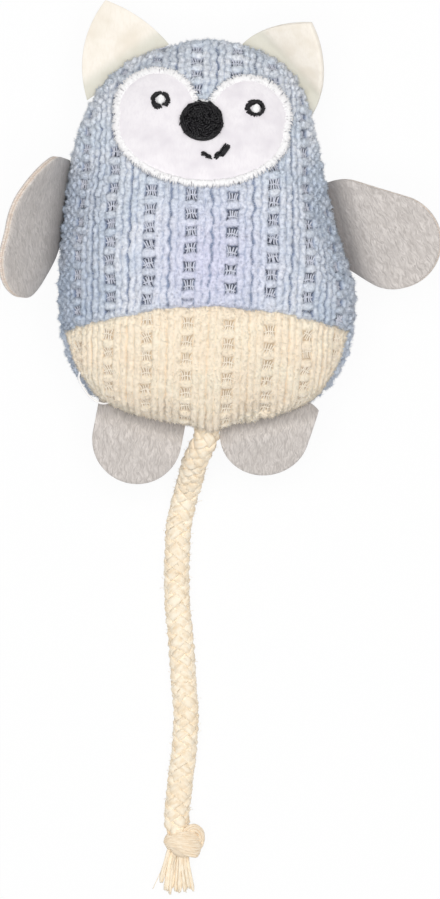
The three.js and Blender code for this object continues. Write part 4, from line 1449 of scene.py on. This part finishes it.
def makeEye(name):
    # black satin ring of slanted stitches round a small field of white ones
    shape = eyeShape[name]
    random = np.random.default_rng(shape["seed"])
    count = eyeShape["stitches"]
    angle = np.linspace(-math.pi, math.pi, count, endpoint=False) + random.normal(0, 0.04, count)
    angle = angle[np.abs(angle - shape["gap"]) > shape["gapHalf"]]
    count = len(angle)
    slant = eyeShape["slant"] + random.normal(0, 0.08, count)
    middle = np.array(shape["middle"])
    hole = np.array(shape["hole"])
    inner = np.array(eyeShape["inner"]) * (1 + random.uniform(-0.12, 0.06, (count, 1)))
    outer = np.array(eyeShape["outer"]) * (1 + random.uniform(-0.08, 0.1, (count, 1)))
    starts = hole + inner * np.stack([np.cos(angle - slant), np.sin(angle - slant)], -1)
    ends = middle + outer * np.stack([np.cos(angle + slant), np.sin(angle + slant)], -1)
    if shape["blob"]:
        spot = middle + np.array(shape["blob"]) + random.normal(0, 0.16, (eyeShape["blobStitches"], 2))
        starts = np.vstack([starts, spot - eyeShape["blobHalf"]])
        ends = np.vstack([ends, spot + eyeShape["blobHalf"]])
    ring = f"eye_{name}_ring"
    stitchPiece(
        f"{ring}_stitch", starts, ends, eyeShape["heights"], eyeShape["thread"], blackThread,
        "black_thread", [ring], 63,
    )
    rows = np.linspace(-eyeShape["dotHalf"], eyeShape["dotHalf"], eyeShape["dotRows"])
    half = 1.1 * np.sqrt(np.maximum(1.1 - rows**2, 0.1))
    starts = hole + np.stack([-half, rows], -1)
    ends = hole + np.stack([half, rows + 0.15], -1)
    white = f"eye_{name}_dot"
    stitchPiece(
        f"{white}_stitch", starts, ends, eyeShape["dotHeights"], eyeShape["dotThread"], whiteThread,
        "white_thread", [white], 64,
    )


noseShape = {
    "middle": (0.0, 1.4),
    "half": (5.15, 4.7),
    "thread": 0.7,
    "turns": 7,
    "rimTurns": 3,
    "sides": 7,
    "bedRings": 10,
    "bedUnder": 4,
    "bedColumns": 64,
    "stitches": 230,
    "stitchHeights": (1.75, 2.5),
    "stitchThread": 0.36,
}


def makeNose():
    # thread laid in a spiral over a low dome, a rim of three turns, and short stitches over the field
    shape = noseShape
    middle = np.array(shape["middle"])
    half = np.array(shape["half"])
    t = np.linspace(0, 1, 520)
    turn = tau * shape["turns"] * np.sqrt(t)
    reach = 0.84 * np.sqrt(t)
    lift = 1.5 + 0.4 * np.sqrt(1 - reach**2) + 0.12 * np.sin(turn * 5.7)
    rim = np.linspace(0, 1, 300)
    rimTurn = tau * shape["rimTurns"] * rim
    rimReach = 0.86 + 0.12 * rim + 0.012 * np.sin(rimTurn * 4.3)
    rimLift = 1.95 - 0.75 * (rim - 0.3) ** 2
    turn = np.concatenate([turn, turn[-1] + rimTurn])
    reach = np.concatenate([reach, rimReach])
    lift = np.concatenate([lift, rimLift])
    x = middle[0] + half[0] * reach * np.cos(turn)
    y = middle[1] + half[1] * reach * np.sin(turn)
    path, normal = facePoint(x[None], y[None], lift[None])
    thick = shape["thread"] * (1 + 0.12 * np.sin(turn * 3.1))
    verts, faces = sweepTubes(path, thick, thick, shape["sides"], normal)
    marks = tubeMarks(path, shape["sides"])
    # a domed bed below, so that nothing pale shows between the turns
    columns = shape["bedColumns"]
    rows = shape["bedRings"] + shape["bedUnder"]
    angle = np.linspace(0, tau, columns, endpoint=False)
    rings = [np.linspace(0.03, 0.97, shape["bedRings"]), np.linspace(0.97, 0.03, shape["bedUnder"])]
    share = np.concatenate(rings)[:, None]
    isTop = (np.arange(rows) < shape["bedRings"])[:, None]
    puff = np.where(isTop, 1.3 + 0.35 * np.sqrt(np.maximum(1 - share**2, 0)), 0.9)
    bed, _ = facePoint(
        middle[0] + half[0] * share * np.cos(angle),
        middle[1] + half[1] * share * np.sin(angle),
        np.broadcast_to(puff, (rows, columns)),
    )
    start = len(verts)
    last = start + (rows - 1) * columns
    bedFaces = gridFaces(rows, columns, start, ring=True)[:, ::-1]
    poles = [start + np.arange(columns)[None, :], last + np.arange(columns)[::-1][None, :]]
    points = np.vstack([verts, bed.reshape(-1, 3)])
    marks = np.vstack([marks, np.zeros((rows * columns, 3))])
    nose = makePiece("nose_stitch", points, faces + [bedFaces] + poles, blackThread, {"yarn": marks})
    place(nose, "torso", "black_thread", "nose")
    random = np.random.default_rng(71)
    count = shape["stitches"]
    spin = random.uniform(0, tau, count)
    far = np.sqrt(random.uniform(0.0, 1.0, count))
    centre = middle + half * far[:, None] * np.stack([np.cos(spin), np.sin(spin)], -1)
    heading = spin + math.pi / 2 * ease(far, 0.6, 0.9) + random.normal(0, 0.35, count)
    size = random.uniform(0.4, 0.9, count)
    step = np.stack([size * np.cos(heading), size * np.sin(heading)], -1)
    stitchPiece(
        "nose_overstitch", centre - step, centre + step, shape["stitchHeights"], shape["stitchThread"],
        blackThread, "black_thread", [], 72,
    )


mouthShape = {
    # laid stitches as start and end on the face plane
    "left": [
        (0.5, -6.3, 1.9, -6.6), (0.6, -6.7, 2.0, -7.0), (1.6, -6.8, 3.1, -7.1), (1.7, -7.2, 3.1, -7.5),
    ],
    "right": [
        (3.7, -6.8, 5.1, -5.7), (4.2, -7.4, 5.7, -5.8), (4.7, -6.2, 6.4, -3.5), (5.0, -6.5, 6.8, -3.7),
        (5.3, -6.8, 7.2, -3.9), (5.7, -6.8, 7.4, -4.2), (3.9, -7.2, 5.2, -6.5),
    ],
    "heights": (1.1, 1.95),
    "thread": 0.52,
    "bow": 0.08,
}


def makeMouth(name):
    # a few heavy threads laid side by side, some ends out of line
    laid = np.repeat(np.array(mouthShape[name]), 2, axis=0)
    laid = laid + np.random.default_rng(81).normal(0, 0.1, laid.shape)
    stitchPiece(
        f"mouth_{name}_stitch", laid[:, :2], laid[:, 2:], mouthShape["heights"], mouthShape["thread"],
        blackThread, "black_thread", [f"mouth_{name}"], 82, 9, mouthShape["bow"],
    )


makeFacePatch()
makeBorder()
for hand in ("left", "right"):
    makeEye(hand)
makeNose()
for hand in ("left", "right"):
    makeMouth(hand)
print("face ready")


# flaps: felt ears and plush limbs, each in the frame of its fold line

def foldFrame(jointName, lift, inset=0.0):
    # hinge point and the flap's own axes: out from the seam, along it, and off its face
    joint = joints[jointName]
    along = -np.array(joint["axis"], float)
    level = np.cross(along, np.array([0.0, 0.0, 1.0]))
    hinge = np.array(joint["pos_m"], float) / mm - inset * level
    turn = math.radians(lift)
    out = level * math.cos(turn) + np.array([0, 0, math.sin(turn)])
    face = -level * math.sin(turn) + np.array([0, 0, math.cos(turn)])
    return hinge, out, along, face


def fromFold(fold, x, y, z):
    # place in the toy of a point in the fold's frame
    hinge, out, along, face = fold
    x, y, z = np.broadcast_arrays(x, y, z)
    return hinge + x[..., None] * out + y[..., None] * along + z[..., None] * face


def bendAtFold(piece):
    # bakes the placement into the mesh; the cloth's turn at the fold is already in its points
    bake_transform(piece)


flapRings = {"top": 46, "under": 12, "first": 0.03}


def flapSheet(outline, middle, topLift, lowLift, edgeRings):
    # rings from the middle out over the face, down the cut edge, and back in underneath
    columns = len(outline)
    top = np.linspace(flapRings["first"], 1, flapRings["top"])
    under = np.linspace(1, flapRings["first"], flapRings["under"])
    share = np.concatenate([top, np.ones(edgeRings), under])[:, None]
    x = middle[0] + share * (outline[:, 0] - middle[0])
    y = middle[1] + share * (outline[:, 1] - middle[1])
    edge = np.linspace(0, 1, edgeRings + 2)[1:-1]
    depth = np.concatenate([np.zeros(len(top)), edge, np.ones(len(under))])[:, None]
    z = topLift(x, y, share) * (1 - depth) + lowLift(x, y, share) * depth
    rows = len(share)
    faces = gridFaces(rows, columns, ring=True)[:, ::-1]
    poles = [np.arange(columns)[None, :], (rows - 1) * columns + np.arange(columns)[::-1][None, :]]
    return x, y, z, np.broadcast_to(depth, x.shape), [faces] + poles


earShape = {
    "tip": (14.6, 5.3),
    "thick": 1.4,
    "turnUp": 1.5,
    "middle": (4.2, 1.5),
    "edgeRings": 3,
    # strength of the painted shade near the seam
    "paintedSeamShade": 0.55,
    # how far the felt runs in under the seam, its two ends there and how its sides bow
    "left": {
        "lift": 4.0, "crownward": -1, "root": -3.5, "outerRoot": 12.6, "innerRoot": 12.2, "outerBulge": 3.2,
        "innerBulge": 1.3, "curl": 0.0, "shown": 1.0, "seed": 91,
    },
    "right": {
        "lift": 46.0, "crownward": 1, "root": -8.0, "outerRoot": 11.7, "innerRoot": 13.2, "outerBulge": 4.3,
        "innerBulge": 2.3, "curl": 0.02, "shown": 0.81, "seed": 92,
    },
}


def earOutline(shape):
    # two bowed sides that meet in a point, and a straight root under the seam
    outer = np.array([shape["root"], -shape["outerRoot"]])
    inner = np.array([shape["root"], shape["innerRoot"]])
    tip = np.array(earShape["tip"]) * [shape["shown"], 1]
    t = np.linspace(0, 1, 60)[:, None]
    sides = []
    for start, end, bulge in ((outer, tip, shape["outerBulge"]), (tip, inner, shape["innerBulge"])):
        over = end - start
        bow = np.array([over[1], -over[0]]) / np.linalg.norm(over)
        sides.append(start + over * t + bow * bulge * 4 * t * (1 - t))
    outline = np.vstack([sides[0], sides[1][1:]])
    return outline if shape["crownward"] > 0 else (outline * [1, -1])[::-1]


def makeEar(name):
    # one thickness of felt, turned up at the seam
    shape = earShape[name]
    fold = foldFrame(f"ear_{name}_fold", shape["lift"])
    outline = evenOutline(earOutline(shape), 200)
    half = earShape["thick"] / 2

    def curl(x, y):
        # nearly flat, with a slight wave; a raised ear bends back towards its point
        wave = 0.15 * softNoise(x / 6, y / 6, shape["seed"])
        return wave - shape["curl"] * np.maximum(x, 0) ** 2

    def halfThick(x, share):
        # thinner where the seam pinches it and at its cut edge
        return half * (0.45 + 0.55 * ease(x, -1, 3)) * (1 - 0.25 * ease(share, 0.9, 1.0))

    def topLift(x, y, share):
        return curl(x, y) + halfThick(x, share)

    def lowLift(x, y, share):
        return curl(x, y) - halfThick(x, share)

    middle = (earShape["middle"][0], shape["crownward"] * earShape["middle"][1])
    x, y, z, _, faces = flapSheet(outline, middle, topLift, lowLift, earShape["edgeRings"])
    points = fromFold(fold, x, y, z)
    # the root lies flat in the seam and turns up smoothly into the ear
    inward = -earShape["turnUp"] * np.log1p(np.exp(-x / earShape["turnUp"]))
    points[..., 2] -= inward * math.sin(math.radians(shape["lift"]))
    points = points.reshape(-1, 3)
    # painted shade near the seam, fading out from the root
    marks = {"paintedSeamShade": earShape["paintedSeamShade"] * (1 - ease(x, -1.0, 2.6)).ravel()}
    ear = makePiece(f"ear_{name}_felt", points, faces, whiteFelt, marks)
    bendAtFold(ear)
    return place(ear, None, "white_felt", f"ear_{name}")


plushShape = {
    "thick": 1.0,
    "layerGap": 0.12,  # from the middle to each layer's backing
    "inside": 2.2,  # how far inside the seam a limb ends, the body's curve there, and its corners' rounding
    "bodyCurve": 70,
    "cornerRound": 0.35,
    "buckle": 0.4,
    "edgeRings": 4,
}
limbPlain = {
    "headward": 0,  # side of a nearly square root corner
    "twist": 0.0,  # degrees that one side turns up further, and where along the seam it does
    "twistSpan": (0.0, 1.0),
    "inset": 0.0,  # how far inside the hinge line the limb is set
    "rootReach": 0.0,  # extra length at the root
    "rootHalf": 40.0,  # half width past which the root's corners are rounded off
    "tipRadius": 11.2,
    "backRadius": 11.2,
    "droop": 2.5,
    "paintedSeamShade": 1.8,  # reach and strength of the painted shade at the seam
    "shade": 0.3,
    "bend": 3.0,  # length of cloth at the fold
}
limbShape = {
    # tilt out of the level, direction in plan, the tip disc's place and its distance from the root disc
    "arm_left": {
        **limbPlain, "lift": 62.3, "aim": 247.3, "tip": 15.6, "slide": 15.1, "span": 13.5, "seed": 101,
        "tipRadius": 10.0, "backRadius": 12.8, "droop": 1.0, "headward": -1, "twist": 17.5,
        "twistSpan": (-14.3, 8.0), "pileTurn": 60.0, "paintedSeamShade": 12.0, "shade": 0.9, "inset": 1.3,
        "bend": 7.0, "rootReach": 3.5,
    },
    "arm_right": {
        **limbPlain, "lift": 26.0, "aim": -22.0, "tip": 12.0, "slide": -6.8, "span": 14.0, "seed": 102,
        "tipRadius": 11.7, "backRadius": 10.4, "droop": 3.0, "headward": 1, "pileTurn": 75.0,
        "paintedSeamShade": 8.0, "shade": 0.75, "bend": 5.0,
    },
    "leg_left": {
        **limbPlain, "lift": -2.0, "aim": -101.0, "tip": 4.1, "slide": 2.7, "span": 16.0, "seed": 103,
        "pileTurn": -16.0, "rootHalf": 11.0,
    },
    "leg_right": {
        **limbPlain, "lift": -12.0, "aim": -108.0, "tip": 2.0, "slide": -1.2, "span": 16.0, "seed": 104,
        "pileTurn": 10.0, "rootHalf": 10.0,
    },
}


def cutLine(shape, y):
    # how far inside the seam the limb is cut off: along the body's curve, with its corners rounded off
    corner = np.maximum(np.abs(y) - shape["rootHalf"], 0) ** 2
    return -plushShape["inside"] - y**2 / plushShape["bodyCurve"] + plushShape["cornerRound"] * corner


def limbOutline(shape, heading):
    # straight-sided pattern round two discs, cut off a little way inside the seam
    angle = math.radians(shape["aim"]) - heading
    end = np.array([shape["tip"], shape["slide"]])
    start = end - shape["span"] * np.array([math.cos(angle), math.sin(angle)])
    turn = math.acos((shape["backRadius"] - shape["tipRadius"]) / shape["span"])
    spin = np.linspace(-math.pi, math.pi, 400, endpoint=False)[:, None]
    isEnd = np.abs(spin) < turn
    rim = np.concatenate([np.cos(angle + spin), np.sin(angle + spin)], -1)
    points = np.where(isEnd, end + shape["tipRadius"] * rim, start + shape["backRadius"] * rim)
    # an arm's headward corner is nearly square where it goes into the seam; its root may reach further in
    back = np.clip((start[0] - points[:, 0]) / shape["backRadius"], 0, 1)
    isCorner = (back > 0) & ((points[:, 1] - start[1]) * shape["headward"] > 0)
    square = start[1] + shape["headward"] * shape["backRadius"] * (1 - back**6) ** (1 / 6)
    points[:, 1] = np.where(isCorner, square, points[:, 1])
    points[:, 0] -= shape["rootReach"] * back**3
    points = evenOutline(points, 1200)
    isOut = points[:, 0] > cutLine(shape, points[:, 1])
    first = int(np.argmax(isOut & ~np.roll(isOut, 1)))
    points = np.roll(points, -first, axis=0)[: isOut.sum()]
    y = np.linspace(points[-1, 1], points[0, 1], 60)
    return evenOutline(np.vstack([points, np.stack([cutLine(shape, y), y], -1)]), 220)


def makeLimb(name):
    # two layers of plush back to back, turned up at the seam
    shape = limbShape[name]
    fold = foldFrame(f"{name}_fold", shape["lift"], shape["inset"])
    heading = math.atan2(-fold[2][0], fold[2][1])
    outline = limbOutline(shape, heading)
    reach = outline[:, 0].max()
    middle = (reach * 0.42, float(np.mean(outline[outline[:, 0] > 0][:, 1])))
    turn = math.radians(shape["pileTurn"])

    def sag(x, y):
        # the limb droops towards its tip and is a little buckled
        buckle = plushShape["buckle"] * softNoise(x / 8, y / 8, shape["seed"]) * ease(x, 0, 6)
        return buckle - shape["droop"] * np.clip(x / reach, 0, 1) ** 2

    for layer, facing in (("front", 1), ("back", -1)):

        def pileFace(x, y, share):
            pinched = plushShape["thick"] * (0.4 + 0.6 * ease(x, -0.5, 3))
            thick = pinched * (1 - 0.22 * ease(share, 0.93, 1.0))
            return sag(x, y) + facing * (plushShape["layerGap"] + thick)

        def backing(x, y, share):
            return sag(x, y) + facing * plushShape["layerGap"]

        x, y, z, depth, faces = flapSheet(outline, middle, pileFace, backing, plushShape["edgeRings"])
        if facing < 0:
            faces = [group[:, ::-1] for group in faces]
        # the root lies flat in the seam; one end of the limb turns up further than the other
        over = shape["lift"] + shape["twist"] * (1 - ease(y, *shape["twistSpan"]))
        over = np.radians(over * ease(x, -1.5, 1.0) - shape["lift"])
        out = x * np.cos(over) - z * np.sin(over)
        up = x * np.sin(over) + z * np.cos(over)
        points = fromFold(fold, out, y, up).reshape(-1, 3)
        wave = 0.4 * softNoise(x / 1.3, y / 1.3, shape["seed"] + 20)
        pile = np.stack([
            (x * math.sin(turn) + y * math.cos(turn) + wave).ravel(),
            (x * math.cos(turn) - y * math.sin(turn)).ravel(),
            np.full(x.size, facing * 5.0),
        ], -1)
        # painted shade, strongest at the root and fading out along the limb
        paintedSeamShade = shape["shade"] * (1 - ease(x, -1, shape["paintedSeamShade"])).ravel()
        marks = {"pile": pile, "cut": ease(depth, 0.25, 0.6).ravel(), "paintedSeamShade": paintedSeamShade}
        piece = makePiece(f"{name}_{layer}_plush", points, faces, greyPlush, marks)
        bendAtFold(piece)
        place(piece, None, "grey_plush", f"{name}_{layer}")


for hand in ("left", "right"):
    makeEar(hand)
for limbName in limbShape:
    makeLimb(limbName)
print("flaps ready")


# loose end of clear sewing thread at the lower left corner

looseThread = {
    "route": [[-31.6, -30.2, 27.5], [-31.9, -31.6, 26.2], [-31.0, -33.8, 25.0], [-29.6, -35.8, 24.0],
              [-28.0, -37.2, 23.2], [-26.2, -37.9, 22.8], [-24.8, -37.8, 22.6], [-23.9, -37.2, 22.2]],
    "width": 0.5,
}


def makeLooseThread():
    path, _ = evenPath(looseThread["route"], 60)
    verts, faces = sweepTubes(path[None], looseThread["width"], looseThread["width"], 8, (0.0, 0.0, 1.0))
    piece = makePiece("loose_thread", verts, faces, whiteThread, {"yarn": tubeMarks(path[None], 8)})
    return place(piece, "torso", "white_thread")


makeLooseThread()
print("loose thread ready")


# pieces inside the body keep their solids and get their own finishes

def fillMaterial(name, pale, deep, scale):
    # tangled fibres or crumbs: two sizes of noise
    material, tree, shader = startMaterial(name, 0.95, 0.2)
    spot = addNode(tree, "TexCoord").outputs["Object"]
    grain = noiseOf(tree, spot, scale, 4)
    clump = noiseOf(tree, spot, scale / 6, 2)
    colour = blendColour(tree, spanOf(tree, grain, 0.35, 0.65), pale, deep)
    colour = blendColour(tree, spanOf(tree, clump, 0.45, 0.7, 0.0, 0.4), colour, deep)
    tree.links.new(colour, shader.inputs["Base Color"])
    addBump(tree, shader, grain, 0.0004, 0.6)
    return material


insideLook = {
    "filling_front": ("polyester_fill", tone(246, 246, 244), tone(222, 222, 220), 900),
    "pouch_front": ("pouch_tissue", tone(236, 231, 220), tone(214, 208, 196), 2600),
    "catnip": ("dried_catnip", tone(120, 126, 78), tone(74, 82, 44), 1200),
    "round_seam_thread": ("seam_thread", tone(246, 243, 240), tone(212, 208, 206), 5000),
}
insideTwins = {
    "filling_back": "filling_front",
    "pouch_back": "pouch_front",
    "belly_seam_thread": "round_seam_thread",
}


def dressInside():
    made = {node: fillMaterial(*look) for node, look in insideLook.items()}
    for node in [*insideLook, *insideTwins]:
        solid = frame["nodes"][node]
        solid.data.materials.clear()
        solid.data.materials.append(made[insideTwins.get(node, node)])


dressInside()
print("inside ready")
